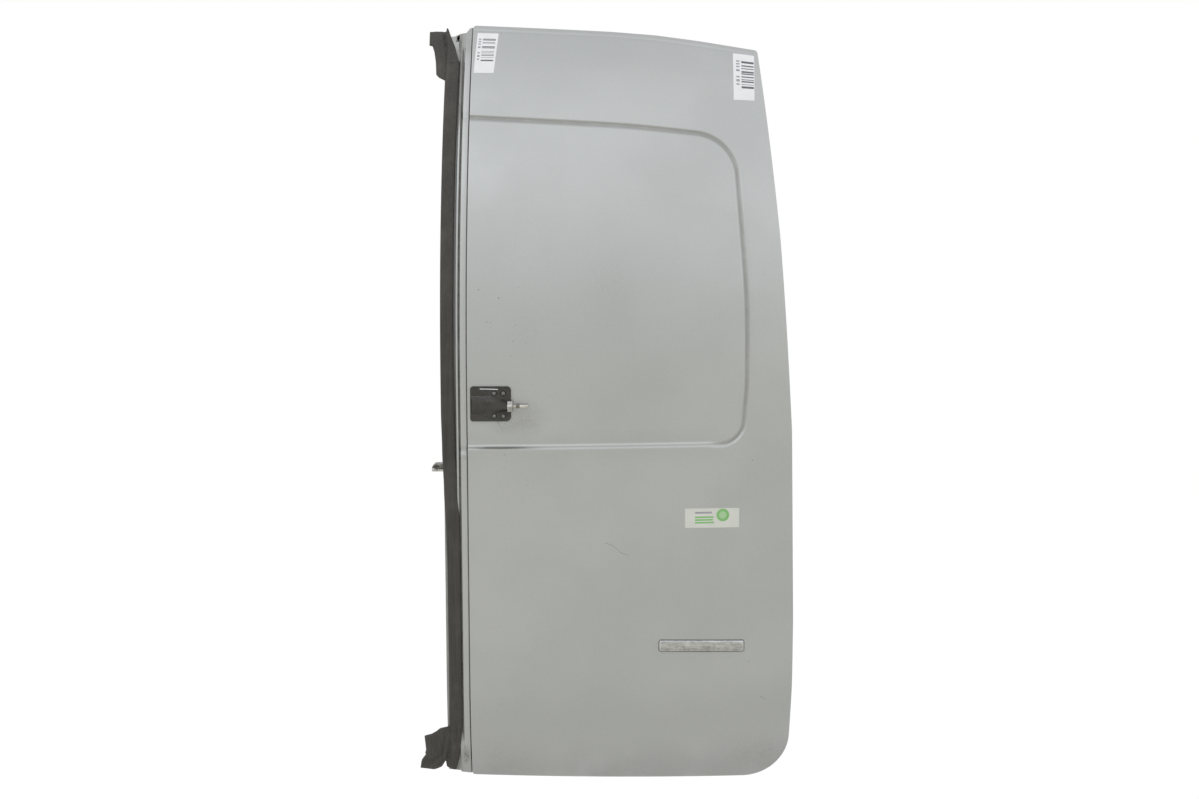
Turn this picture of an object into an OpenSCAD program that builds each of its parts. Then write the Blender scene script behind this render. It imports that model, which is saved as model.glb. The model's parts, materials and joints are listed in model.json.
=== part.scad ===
// Rear door of a small panel van: the right-hand leaf of a pair, seen from behind the van.
// Sub-parts are drawn on the door's own sheet: x runs from the meeting edge to the hinge edge,
// z runs up from about mid height, and y runs into the van. A depth is measured in y from the
// outer face of the skin. place() then puts the origin on the lower hinge pad.

/* [Outline] */
// Width of the outer skin at its widest
skin_w = 532.5; // [500:0.5:560]
// Top of the outer skin at the meeting edge, above the middle
skin_top = 612; // [590:1:625]
// Bottom of the outer skin at the meeting edge, below the middle
skin_bottom = 628; // [610:1:640]
// How much narrower the skin is at its top corner
top_taper = 55.5; // [45:0.5:65]
// Radius of the lower outer corner
corner_r = 74; // [50:1:90]

/* [Curvature] */
// Height above the middle where the skin starts to lean in
lean_z = 20; // [0:1:60]
// Radius of the leaning upper half
lean_r = 1140; // [1050:10:1300]
// Depth below the middle where the skin starts to tuck in
tuck_z = 455; // [430:1:480]
// Radius of the tuck at the bottom
tuck_r = 750; // [650:10:900]
// Radius of the skin from side to side
crown_r = 3200; // [2800:50:4000]

/* [Sheet metal] */
// Thickness of the pressed sheets
sheet = 1; // [0.8:0.1:1.2]
// Depth of the door from its outer face to its inner face
door_t = 58; // [54:1:62]
// Width of the folded hem round the skin
hem_w = 9; // [7:0.5:11]
// Depth of the bead pressed round the window blank
bead_t = 2.5; // [1.5:0.1:3]
// Width of that bead
bead_w = 7; // [6:0.5:9]
// Distance from the edge of the skin to the side walls of the inner panel
wall_inset = 20; // [18:1:24]

/* [Meeting edge] */
// Width of the rubber seal
seal_w = 23; // [22:0.5:25]
// Distance from the skin to the seal above the step
seal_gap = 20; // [19:0.5:22]
// How far the seal steps towards the skin below the lock
seal_step = 7; // [5:0.5:8]

/* [Hinges] */
// Distance between the two bolts of a hinge
hinge_pitch = 54; // [48:1:60]
// Radius of the hinge bolt holes
hinge_hole_r = 4.25; // [4:0.05:4.5]
// Height of the upper hinge above the middle
hinge_z_upper = 250; // [235:1:265]
// Height of the lower hinge below the middle
hinge_z_lower = 400; // [380:1:420]

/* [Hidden] */

paint = [0.68, 0.68, 0.67];
paint_inside = [0.62, 0.62, 0.61];
rubber_black = [0.13, 0.13, 0.13];
zinc = [0.72, 0.69, 0.58];
bare_steel = [0.75, 0.75, 0.76];
lock_black = [0.09, 0.09, 0.10];
chrome_silver = [0.85, 0.86, 0.87];
brass = [0.70, 0.56, 0.28];

sweep_top = 650;
sweep_bottom = -670;
lean_a = asin((sweep_top - lean_z) / lean_r);
tuck_a = asin((-tuck_z - sweep_bottom) / tuck_r);
sheet_left = -100;
sheet_right = 560;
crown_steps = 8;

// Distance that the skin falls back from the upright middle at height z
function fall_at(z) =
    z > lean_z ? lean_r - sqrt(lean_r * lean_r - pow(z - lean_z, 2))
    : z < -tuck_z ? tuck_r - sqrt(tuck_r * tuck_r - pow(z + tuck_z, 2)) : 0;
// Distance that the skin falls back at x, flat out past the meeting edge
function crown_at(x) = x < 0 ? 0 : round(100 * (crown_r - sqrt(crown_r * crown_r - x * x))) / 100;
function on_door(x, z, d) = [x, crown_at(x) + fall_at(z) + d, z];

// Outlines are lists of corners, [x, z, radius], anticlockwise seen from behind the van
function unit(v) = v / norm(v);
function left_of(v) = [-v[1], v[0]];
function wrap(list, i) = list[(i + len(list)) % len(list)];
function corner_xz(c) = [c[0], c[1]];
function fillet(a, b, c, r) =
    let(u = unit(a - b), v = unit(c - b), half = acos(u * v) / 2,
        mid = b + unit(u + v) * r / sin(half), from = b + u * r / tan(half) - mid,
        turn = 180 - 2 * half, way = cross(b - a, c - b) > 0 ? 1 : -1, steps = max(2, ceil(turn / 9)))
    [for (i = [0:steps]) let(t = way * turn * i / steps)
        mid + [from[0] * cos(t) - from[1] * sin(t), from[0] * sin(t) + from[1] * cos(t)]];
function rounded(corners) =
    [for (i = [0:len(corners) - 1])
        let(a = corner_xz(wrap(corners, i - 1)), b = corner_xz(corners[i]), c = corner_xz(wrap(corners, i + 1)))
        each (corners[i][2] > 0 ? fillet(a, b, c, corners[i][2]) : [b])];
function inset(corners, d) =
    [for (i = [0:len(corners) - 1])
        let(a = corner_xz(wrap(corners, i - 1)), b = corner_xz(corners[i]), c = corner_xz(wrap(corners, i + 1)),
            n1 = left_of(unit(b - a)), n2 = left_of(unit(c - b)), p = b + (n1 + n2) * d / (1 + n1 * n2),
            way = cross(b - a, c - b) > 0 ? 1 : -1)
        [p[0], p[1], corners[i][2] == 0 ? 0 : max(corners[i][2] - way * d, 0.5)]];
function block(x0, z0, x1, z1, r) = [[x0, z0, r], [x1, z0, r], [x1, z1, r], [x0, z1, r]];

skin_corners = [
    [0, -skin_bottom, 5],
    [skin_w - 5, -skin_bottom - 20, corner_r],
    [skin_w, -480, 900],
    [skin_w, -56, 7200],
    [skin_w - top_taper, skin_top - 39, 9],
    [305, skin_top - 13, 1400],
    [0, skin_top, 5]];
bead_corners = inset([
    [-60, -76.5, 0],
    [skin_w - 92, -74, 40],
    [skin_w - 84.5, 20, 300],
    [skin_w - 84.5, 150, 1500],
    [skin_w - 102, skin_top - 191, 75],
    [260, skin_top - 172, 1200],
    [-60, skin_top - 157, 0]], -bead_w / 2);

// What is inside an outline drawn on the door's sheet, as far in as it is needed
module plan() translate([0, 300, 0]) rotate([90, 0, 0]) linear_extrude(500) children();
module outline(corners) plan() polygon(rounded(corners));
module ring(corners, width) difference() {
    outline(corners);
    outline(inset(corners, width));
}

// A layer of the door from depth d0 to depth d1: an upright middle between two arcs
function layer_profile(d0, d1) =
    let(xs = [sheet_left, for (i = [0:crown_steps]) sheet_right * i / crown_steps], n = len(xs) - 1)
    concat([for (i = [0:n]) [crown_at(xs[i]) + d0, xs[i]]],
           [for (i = [n:-1:0]) [crown_at(xs[i]) + d1, xs[i]]]);
module downward_arc(radius, angle, profile) translate([0, radius, 0]) rotate([0, 90, 0]) rotate([0, 0, -90])
    rotate_extrude(angle = angle, $fn = 360) polygon([for (p = profile) [radius - p[0], p[1]]]);
module layer(d0, d1) {
    profile = layer_profile(d0, d1);
    translate([0, 0, lean_z]) mirror([0, 0, 1]) downward_arc(lean_r, lean_a, profile);
    translate([0, 0, -tuck_z]) linear_extrude(lean_z + tuck_z) polygon([for (p = profile) [p[1], p[0]]]);
    translate([0, 0, -tuck_z]) downward_arc(tuck_r, tuck_a, profile);
}
module between(d0, d1, corners) intersection() {
    layer(d0, d1);
    outline(corners);
}
module ring_between(d0, d1, corners, width) intersection() {
    layer(d0, d1);
    ring(corners, width);
}

// A long strip along the meeting edge: its section is [x, depth] points, and it follows the seal's step
strip_steps = 40;
function step_at(z) = let(t = min(max((-80 - z) / 120, 0), 1)) seal_step * t * t * (3 - 2 * t);
module strip(section, z0, z1) {
    n = len(section);
    rings = [for (i = [0:strip_steps]) let(z = z0 + (z1 - z0) * i / strip_steps)
        [for (p = section) [p[0] + (p[0] < -5 ? step_at(z) : 0), fall_at(z) + p[1], z]]];
    polyhedron(
        points = [for (r = rings) each r],
        faces = concat(
            [[for (i = [0:n - 1]) i]],
            [for (k = [0:strip_steps - 1], i = [0:n - 1]) let(a = k * n + i, b = k * n + (i + 1) % n)
                each [[b, a, a + n], [b, a + n, b + n]]],
            [[for (i = [n - 1:-1:0]) strip_steps * n + i]]));
}

// Lower hinge pad, which carries the origin, and the upper one
pad_w = 34;
pad_h = 80;
pad_d = 30;
pad_d_upper = 33;
pad_x_lower = skin_w - 14.5;
pad_x_upper = skin_w - 41;
pad_lower = [pad_x_lower, crown_at(pad_x_lower) + pad_d, -hinge_z_lower];
pad_upper = [pad_x_upper, crown_at(pad_x_upper) + round(fall_at(hinge_z_upper)) + pad_d_upper, hinge_z_upper];
module place() translate(-pad_lower) children();

module bead_room() ring_between(0, bead_t + sheet, inset(bead_corners, -sheet), bead_w + 2 * sheet);
module outer_skin() color(paint) place() difference() {
    union() {
        between(0, sheet, skin_corners);
        ring_between(0, 3 * sheet, skin_corners, sheet);
        ring_between(2 * sheet, 3 * sheet, skin_corners, hem_w);
        intersection() {
            bead_room();
            outline(inset(skin_corners, sheet));
        }
    }
    ring_between(-sheet, bead_t, bead_corners, bead_w);
}

panel_corners = [
    [-8, -skin_bottom + wall_inset, 20],
    [skin_w - 5 - wall_inset, -skin_bottom - 20 + wall_inset, corner_r - wall_inset],
    [skin_w - wall_inset, -480, 900],
    [skin_w - wall_inset, -56, 7200],
    [skin_w - top_taper - wall_inset, skin_top - 39 - wall_inset, 20],
    [305, skin_top - 13 - wall_inset, 1400],
    [-8, skin_top - wall_inset, 20]];
window_hole = [
    [66, -30, 45],
    [skin_w - 112, -26, 45],
    [skin_w - 110, 150, 1500],
    [skin_w - 132, skin_top - 218, 60],
    [260, skin_top - 200, 1200],
    [66, skin_top - 190, 45]];
service_hole = [
    [110, -490, 50],
    [skin_w - 105, -500, 70],
    [skin_w - 100, -195, 60],
    [270, -180, 300],
    [110, -215, 50]];
hole_lip = 8;

// Stiffening swages raised from the inner face, and the round holes that the works reach in by
swage_h = 4;
top_swage = [[120, 474, 14], [390, 462, 14], [384, 492, 14], [120, 504, 14]];
waist_swage = [[112, -136, 16], [430, -132, 16], [430, -96, 16], [112, -100, 16]];
bottom_swage = [[120, -568, 12], [390, -574, 12], [392, -546, 12], [120, -540, 12]];
swages = [top_swage, waist_swage, bottom_swage];
access_holes = [[466, 60, 13], [474, -250, 13], [18, -380, 11], [20, 330, 11]];

module hinge_holes(pad) translate(pad) rotate([0, -90, 0])
    for (side = [-1, 1]) translate([side * hinge_pitch / 2, 0, -20]) cylinder(r = hinge_hole_r, h = 70, $fn = 48);

module inner_panel() color(paint_inside) place() difference() {
    union() {
        ring_between(sheet, 2 * sheet, inset(skin_corners, sheet), wall_inset);
        ring_between(2 * sheet, door_t, panel_corners, sheet);
        between(door_t - sheet, door_t, panel_corners);
        ring_between(door_t - hole_lip, door_t, inset(window_hole, -sheet), sheet);
        ring_between(door_t - hole_lip, door_t, inset(service_hole, -sheet), sheet);
        for (swage = swages) between(door_t - sheet, door_t + swage_h, swage);
    }
    bead_room();
    between(0, face_d + sheet, block(-20, -700, 0, 700, 0));
    outline(window_hole);
    outline(service_hole);
    for (swage = swages) between(door_t - 2 * sheet, door_t + swage_h - sheet, inset(swage, sheet));
    plan() for (h = access_holes) translate([h[0], h[1]]) circle(r = h[2], $fn = 36);
    hinge_holes(pad_upper);
    hinge_holes(pad_lower);
}

// The flange beside the skin: a face, a web, the plate that the seal grips and a rib between them
flange_left = -39.5;
rib_x0 = -18.5;
rib_x1 = -16;
rib_z0 = -115;
face_x0 = -13;
face_x1 = 1.5;
face_d = 3.1;
rib_d = 4;
plate_d = 7;
step_z0 = -172;
step_z1 = -68;
flange_z0 = -skin_bottom + 6;
flange_z1 = skin_top - 16;
plate_corners = [
    [flange_left + seal_step, flange_z0, 0], [face_x0 + sheet, flange_z0, 0],
    [face_x0 + sheet, flange_z1, 0], [flange_left, flange_z1, 0],
    [flange_left, step_z1, 150], [flange_left + seal_step, step_z0, 150]];
module meeting_flange() color(paint) place() {
    between(face_d, face_d + sheet, block(face_x0, flange_z0, face_x1, flange_z1, 0));
    between(face_d, plate_d + sheet, block(face_x0, flange_z0, face_x0 + sheet, flange_z1, 0));
    between(plate_d, plate_d + sheet, plate_corners);
    between(rib_d, plate_d + sheet, block(rib_x0, rib_z0, rib_x1, flange_z1, 0));
}

module waist_rail() color(paint_inside) place()
    difference() {
        between(24, door_t - sheet, block(20, -150, 480, -60, 0));
        between(24 + sheet, door_t, block(10, -148, 490, -62, 0));
    }
module anti_flutter_bar(z, x1) color(paint_inside) place()
    difference() {
        between(sheet, 16, block(30, z - 22, x1, z + 22, 0));
        between(0, 15, block(20, z - 14, x1 + 10, z + 14, 0));
        between(0, 15, block(20, z - 30, x1 + 10, z - 15, 0));
        between(0, 15, block(20, z + 15, x1 + 10, z + 30, 0));
    }
module anti_flutter_bar_upper() anti_flutter_bar(300, 420);
module anti_flutter_bar_middle() anti_flutter_bar(110, 430);
module anti_flutter_bar_lower() anti_flutter_bar(-345, 480);

module pad_block(pad, x0, x1, h, w) translate(pad + [x0, -w / 2, -h / 2]) cube([x1 - x0, w, h]);
module hinge_pad(pad) color(paint) place() difference() {
    pad_block(pad, -20, 0, pad_h, pad_w);
    outline(panel_corners);
    hinge_holes(pad);
}
module hinge_reinforcement(pad) color(paint_inside) place() difference() {
    intersection() {
        pad_block(pad, -40, 0, pad_h + 30, pad_w);
        outline(inset(panel_corners, sheet));
    }
    outline(inset(panel_corners, sheet + 2.5));
    hinge_holes(pad);
}
module hinge_nuts(pad) color(bare_steel) place() difference() {
    intersection() {
        translate(pad) rotate([0, -90, 0]) for (side = [-1, 1])
            translate([side * hinge_pitch / 2, 0, 0]) cylinder(r = 8, h = 26, $fn = 6);
        outline(inset(panel_corners, sheet + 2.5));
    }
    hinge_holes(pad);
}
module hinge_pad_upper() hinge_pad(pad_upper);
module hinge_pad_lower() hinge_pad(pad_lower);
module hinge_reinforcement_upper() hinge_reinforcement(pad_upper);
module hinge_reinforcement_lower() hinge_reinforcement(pad_lower);
module hinge_nuts_upper() hinge_nuts(pad_upper);
module hinge_nuts_lower() hinge_nuts(pad_lower);

seal_z0 = -skin_bottom + 78;
seal_z1 = skin_top - 66;
module meeting_seal() color(rubber_black) place() {
    right = -seal_gap;
    left = right - seal_w;
    strip([[right, 6.9], [right, 3], [right - 2, 0.8], [right - 7, 0], [right - 12, -0.4], [left + 5, 0.4],
        [left + 2, 2.5], [left, 6], [left, 9], [left + 2, 11.5], [left + 5.5, 11.5], [left + 5.5, 8.1],
        [left + 3.4, 8.1], [left + 3.4, 6.9]], seal_z0, seal_z1);
}
top_moulding = [
    [-73.5, 602, 1], [-72.8, 577, 1], [-67, 575.5, 0.5], [-63, 564, 8], [-59.5, 546, 20], [-57.7, 524, 3],
    [-53, 519.5, 2], [-43.2, 513.5, 0], [-43.2, seal_z1 + 0.2, 0], [-22.5, seal_z1 + 0.2, 0], [-25.2, 560, 0],
    [-28.2, 572, 20], [-37, 593, 20], [-42, 606.5, 0.5], [-44, 607.5, 0.4], [-44.8, 601, 0.5]];
bottom_moulding = [
    [-88, -621.5, 1], [-63, -622, 12], [-50.5, -615, 10], [-43.8, -603.5, 0], [-42.3, -614, 1], [-39, -617, 1],
    [-27, -620.5, 0.5], [-22.5, -604.5, 20], [-18.5, -580, 60], [-16.8, seal_z0 - 0.2, 0], [-36.2, seal_z0 - 0.2, 0],
    [-36.2, -541.3, 0], [-51.2, -545.4, 5], [-58, -551.5, 5], [-66, -557, 10], [-78.3, -561.5, 0.5],
    [-76.5, -586, 2], [-78.4, -591.5, 1], [-77.1, -595, 1], [-85, -606, 12]];
module moulding(corners) color(rubber_black) place() {
    between(-1, plate_d, corners);
    intersection() {
        between(-1, 24, corners);
        outline(block(-100, -700, -41, 700, 0));
    }
}
module seal_top_moulding() moulding(top_moulding);
module seal_bottom_moulding() moulding(bottom_moulding);

lock_x = 5;
lock_z = -6.9;
lock_w = 65;
lock_h = 56;
axis_d = -12;
axis_z = -9.6;
module lock_plate() color(lock_black) place()
    between(-3, 0, block(lock_x, lock_z - lock_h / 2, lock_x + lock_w, lock_z + lock_h / 2, 5));
module lock_housing() color(lock_black) place()
    between(-20, -3, [[14, axis_z - 15, 4], [38, axis_z - 15, 3], [65, axis_z - 8, 2],
        [65, axis_z + 8, 2], [38, axis_z + 15, 3], [14, axis_z + 15, 4]]);
module lock_screws() color(lock_black) place()
    for (x = [43.2, 57.8], z = [-18.1, 18.1]) translate([x, -5, lock_z - 1.4 + z]) rotate([-90, 0, 0])
        cylinder(r = 3.6, h = 2.1, $fn = 32);
module along_x(x, d, z) translate([x, d, z]) rotate([0, 90, 0]) children();
module lock_nut() color(bare_steel) place() along_x(65, axis_d, axis_z) rotate([0, 0, 30]) cylinder(r = 9.8, h = 9, $fn = 6);
module lock_pin() color(brass) place() {
    along_x(74, axis_d, axis_z) cylinder(r = 2.1, h = 5, $fn = 32);
    along_x(79, axis_d, axis_z) cylinder(r = 3.2, h = 3, $fn = 32);
    along_x(82, axis_d, axis_z) cylinder(r = 2.7, h = 16, $fn = 32);
}

striker_z = -117.2;
striker_d = 26;
bracket_z = -113;
module striker_plate() color(zinc) place() translate([-11, striker_d - 14, striker_z - 28]) cube([3, 34, 60]);
module striker_bracket() color(zinc) place() translate([-60, striker_d - 12, bracket_z]) difference() {
    cube([49, 24, 6.5]);
    translate([-1, 2, -1]) cube([51, 20, 5]);
}
module striker_roller() color(bare_steel) place() along_x(-61, striker_d, striker_z) cylinder(r = 3.2, h = 50, $fn = 48);

// Latch at the top or bottom edge: a claw turns in its case and closes over a bar that comes in by the slot
latch_x = 50;
latch_z_upper = 588;
latch_z_lower = -603;
latch_w = 72;
latch_h = 58;
case_h = 50;
latch_d = 18;
latch_slot = 13;
claw_r = 15;
claw_at = [latch_x + 14, 26];
function edge_block(z_edge, way, x0, x1, a, b, r) =
    way > 0 ? block(x0, z_edge - b, x1, z_edge - a, r) : block(x0, z_edge + a, x1, z_edge + b, r);
module claw_outline(z_edge, way, r) plan() translate([claw_at[0], z_edge - way * claw_at[1]]) circle(r = r, $fn = 48);
module latch(z_edge, way) color(zinc) place() difference() {
    union() {
        between(door_t, door_t + 3, edge_block(z_edge, way, latch_x - latch_w / 2, latch_x + latch_w / 2, 0, latch_h, 6));
        between(door_t, door_t + latch_d, edge_block(z_edge, way, latch_x - 22, latch_x + 34, 4, case_h, 5));
    }
    between(door_t + 3, door_t + latch_d + 1,
        edge_block(z_edge, way, latch_x - latch_slot / 2, latch_x + latch_slot / 2, -5, claw_at[1] + 8, 0));
    intersection() {
        layer(door_t + 5, door_t + 13);
        claw_outline(z_edge, way, claw_r + 0.5);
    }
    plan() for (side = [-1, 1]) translate([latch_x + side * (latch_w / 2 - 6), z_edge - way * (latch_h - 14)])
        circle(r = 3.2, $fn = 32);
}
module latch_claw(z_edge, way) color(bare_steel) place() difference() {
    intersection() {
        layer(door_t + 5, door_t + 12);
        claw_outline(z_edge, way, claw_r);
    }
    outline(edge_block(z_edge, way, latch_x - 12, latch_x + 9, 18, 25, 3));
}
module latch_upper() latch(latch_z_upper, 1);
module latch_lower() latch(latch_z_lower, -1);
module latch_claw_upper() latch_claw(latch_z_upper, 1);
module latch_claw_lower() latch_claw(latch_z_lower, -1);

rod_r = 3;
rod_d = door_t + 8;
module rod(points) {
    for (i = [0:len(points) - 2]) let(a = points[i], v = points[i + 1] - a)
        translate(a) rotate([0, acos(v[2] / norm(v)), atan2(v[1], v[0])]) cylinder(r = rod_r, h = norm(v), $fn = 24);
    if (len(points) > 2) for (i = [1:len(points) - 2]) translate(points[i]) sphere(r = rod_r + 0.1, $fn = 24);
}
module latch_rod_upper() color(bare_steel) place()
    rod([on_door(latch_x, latch_z_upper - case_h, rod_d), on_door(latch_x, 300, rod_d), on_door(latch_x, 46, rod_d)]);
module latch_rod_lower() color(bare_steel) place()
    rod([on_door(latch_x, latch_z_lower + case_h, rod_d), on_door(latch_x, -56, rod_d)]);

// The release is a dished case with a finger lever in it
release_outline = block(24, -56, 76, 46, 9);
module release_housing() color(lock_black) place() difference() {
    between(door_t, door_t + 16, release_outline);
    between(door_t + 4, door_t + 17, inset(release_outline, 4));
}
module release_lever() color(lock_black) place() {
    between(door_t + 4, door_t + 15, block(34, 18, 66, 36, 3));
    between(door_t + 10, door_t + 15, block(36, -40, 64, 30, 6));
}
module buffer(z) color(rubber_black) place() intersection() {
    layer(door_t, door_t + 9);
    plan() translate([430, z]) circle(r = 13, $fn = 48);
}
module buffer_upper() buffer(450);
module buffer_lower() buffer(-560);
module trim_bar() color(chrome_silver) place()
    between(-4, 0, [[308.5, -416.5, 4], [449.5, -421.5, 4], [449.5, -402.5, 4], [308.5, -397.5, 4]]);

outer_skin();
inner_panel();
meeting_flange();
waist_rail();
anti_flutter_bar_upper();
anti_flutter_bar_middle();
anti_flutter_bar_lower();
hinge_reinforcement_upper();
hinge_reinforcement_lower();
hinge_pad_upper();
hinge_pad_lower();
hinge_nuts_upper();
hinge_nuts_lower();
meeting_seal();
seal_top_moulding();
seal_bottom_moulding();
lock_plate();
lock_housing();
lock_screws();
lock_nut();
lock_pin();
striker_plate();
striker_bracket();
striker_roller();
latch_upper();
latch_lower();
latch_claw_upper();
latch_claw_lower();
latch_rod_upper();
latch_rod_lower();
release_housing();
release_lever();
buffer_upper();
buffer_lower();
trim_bar();
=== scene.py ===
import json
import math

import bpy
import bmesh
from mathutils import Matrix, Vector
from mathutils.kdtree import KDTree


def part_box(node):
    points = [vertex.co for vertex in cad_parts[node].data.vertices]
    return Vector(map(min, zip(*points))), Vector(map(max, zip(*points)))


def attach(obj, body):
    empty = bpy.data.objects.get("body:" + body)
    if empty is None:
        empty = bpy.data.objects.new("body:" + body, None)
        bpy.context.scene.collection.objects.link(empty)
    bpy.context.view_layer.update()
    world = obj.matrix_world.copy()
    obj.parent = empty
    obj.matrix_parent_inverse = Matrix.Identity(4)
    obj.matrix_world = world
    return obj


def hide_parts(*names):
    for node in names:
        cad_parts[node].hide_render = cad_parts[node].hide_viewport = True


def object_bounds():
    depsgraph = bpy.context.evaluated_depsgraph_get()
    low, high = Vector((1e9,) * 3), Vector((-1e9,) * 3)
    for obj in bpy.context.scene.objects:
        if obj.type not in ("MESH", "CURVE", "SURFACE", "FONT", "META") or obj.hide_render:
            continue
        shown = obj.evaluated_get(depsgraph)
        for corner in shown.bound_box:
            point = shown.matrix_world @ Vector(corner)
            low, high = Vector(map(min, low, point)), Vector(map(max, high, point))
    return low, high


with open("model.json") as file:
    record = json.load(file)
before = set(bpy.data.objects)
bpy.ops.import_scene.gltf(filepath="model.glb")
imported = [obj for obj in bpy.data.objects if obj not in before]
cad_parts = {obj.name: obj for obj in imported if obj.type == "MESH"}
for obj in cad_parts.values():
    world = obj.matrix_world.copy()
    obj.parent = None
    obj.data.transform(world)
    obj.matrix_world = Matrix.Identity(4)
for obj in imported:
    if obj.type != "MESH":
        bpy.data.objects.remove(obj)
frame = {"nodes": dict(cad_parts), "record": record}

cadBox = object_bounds()

# The door sheet: x from the meeting edge to the hinge edge, z up from mid height, both in mm,
# and d into the van from the outer face. Pieces are shaped flat on it and then laid on the door.
doorSheet = {
    "lean": (20.0, 1140.0),      # height where the skin starts to lean in, and its radius
    "tuck": (-455.0, 750.0),     # height where it starts to tuck under, and its radius
    "crown": 3200.0,             # radius from side to side
    "plateBelow": 6.9,           # how far the middle of the lock plate is below mid height
}
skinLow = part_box("outer_skin")[0]
plateLow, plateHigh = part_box("lock_plate")
doorZero = Vector((skinLow.x, skinLow.y, (plateLow.z + plateHigh.z) / 2 + doorSheet["plateBelow"] / 1000))


def fallAt(z):
    leanZ, leanR = doorSheet["lean"]
    tuckZ, tuckR = doorSheet["tuck"]
    if z > leanZ:
        return leanR - math.sqrt(leanR ** 2 - (z - leanZ) ** 2)
    if z < tuckZ:
        return tuckR - math.sqrt(tuckR ** 2 - (z - tuckZ) ** 2)
    return 0.0


def crownAt(x):
    r = doorSheet["crown"]
    return r - math.sqrt(r * r - x * x) if x > 0 else 0.0


def layOnDoor(piece, bent=True):
    # mm on the flat sheet become metres on the curved door, or on its upright middle
    for v in piece.data.vertices:
        x, d, z = v.co
        y = d + (crownAt(x) + fallAt(z) if bent else 0)
        v.co = doorZero + Vector((x, y, z)) / 1000
    piece.data.update()
    return piece


def onDoor(x, z):
    # a place on the sheet as a point for the materials, which leave depth out
    return (doorZero.x + x / 1000, 0, doorZero.z + z / 1000)


# Outlines on the sheet are lists of (x, z, radius) corners going anticlockwise
def roundedLine(corners, degrees=6, closed=True):
    line = []
    n = len(corners)
    for i, (bx, bz, r) in enumerate(corners):
        b = Vector((bx, bz))
        if r <= 0 or (not closed and i in (0, n - 1)):
            line.append(b)
            continue
        a = Vector(corners[i - 1][:2])
        c = Vector(corners[(i + 1) % n][:2])
        u, v = (a - b).normalized(), (c - b).normalized()
        half = u.angle(v) / 2
        middle = b + (u + v).normalized() * r / math.sin(half)
        arm = b + u * r / math.tan(half) - middle
        turn = math.pi - 2 * half
        way = 1 if (b - a).cross(c - b) > 0 else -1
        steps = max(2, math.ceil(math.degrees(turn) / degrees))
        for k in range(steps + 1):
            t = way * turn * k / steps
            line.append(middle + Vector((arm.x * math.cos(t) - arm.y * math.sin(t),
                                         arm.x * math.sin(t) + arm.y * math.cos(t))))
    return line


def insetCorners(corners, by, leastRadius=0.4):
    out = []
    n = len(corners)
    for i, (bx, bz, r) in enumerate(corners):
        a, b, c = Vector(corners[i - 1][:2]), Vector((bx, bz)), Vector(corners[(i + 1) % n][:2])
        u, v = (b - a).normalized(), (c - b).normalized()
        n1, n2 = Vector((-u.y, u.x)), Vector((-v.y, v.x))
        p = b + (n1 + n2) * by / (1 + n1.dot(n2))
        way = 1 if (b - a).cross(c - b) > 0 else -1
        out.append((p.x, p.y, 0 if r == 0 else max(r - way * by, leastRadius)))
    return out


def ease(t):
    # 0 to 1, with a soft start and a soft end
    t = min(max(t, 0.0), 1.0)
    return t * t * (3 - 2 * t)


def hump(t):
    # a bell: 1 in the middle, near 0 from 2 on
    return math.exp(-t * t)


def between(table, z):
    # smooth value at height z from a short list of (height, value), highest first
    if z >= table[0][0]:
        return table[0][1]
    for (z0, a), (z1, b) in zip(table, table[1:]):
        if z >= z1:
            return a + (b - a) * ease((z0 - z) / (z0 - z1))
    return table[-1][1]


def lineDistance(line, x, z, closed=False):
    p = Vector((x, z))
    best = 1e9
    for a, b in zip(line, list(line[1:]) + ([line[0]] if closed else [])):
        run = b - a
        t = min(max((p - a).dot(run) / max(run.length_squared, 1e-9), 0), 1)
        best = min(best, (p - a - run * t).length)
    return best


def deselectAll():
    if bpy.context.object and bpy.context.object.mode != "OBJECT":
        bpy.ops.object.mode_set(mode="OBJECT")
    bpy.ops.object.select_all(action="DESELECT")


def pick(piece):
    deselectAll()
    piece.select_set(True)
    bpy.context.view_layer.objects.active = piece


def named(name):
    piece = bpy.context.object
    piece.name = name
    piece.data.name = name
    return piece


def useModifier(piece, kind, **values):
    pick(piece)
    m = piece.modifiers.new(kind.title(), kind)
    for key, value in values.items():
        setattr(m, key, value)
    bpy.ops.object.modifier_apply(modifier=m.name)
    return piece


def cutAway(piece, tool):
    useModifier(piece, "BOOLEAN", operation="DIFFERENCE", object=tool, solver="EXACT")
    bpy.data.objects.remove(tool)


def bevelEdges(piece, width, segments=3, degrees=30):
    return useModifier(piece, "BEVEL", width=width, segments=segments, limit_method="ANGLE",
                       angle_limit=math.radians(degrees), use_clamp_overlap=True)


def smoothBy(piece, degrees=35):
    pick(piece)
    bpy.ops.object.shade_smooth_by_angle(angle=math.radians(degrees))
    return piece


def cleanFaces(piece, gap=0.0001):
    pick(piece)
    bpy.ops.object.mode_set(mode="EDIT")
    bpy.ops.mesh.select_all(action="SELECT")
    bpy.ops.mesh.remove_doubles(threshold=gap)
    bpy.ops.mesh.normals_make_consistent(inside=False)
    bpy.ops.object.mode_set(mode="OBJECT")
    return piece


def joinAll(pieces, name):
    deselectAll()
    for piece in pieces:
        piece.select_set(True)
    bpy.context.view_layer.objects.active = pieces[0]
    bpy.ops.object.join()
    return named(name)


def boxLine(x0, z0, x1, z1):
    return [(x0, z0), (x1, z0), (x1, z1), (x0, z1)]


def circleLine(x, z, radius, steps=40):
    turns = [k * math.tau / steps for k in range(steps)]
    return [(x + radius * math.cos(t), z + radius * math.sin(t)) for t in turns]


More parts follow.
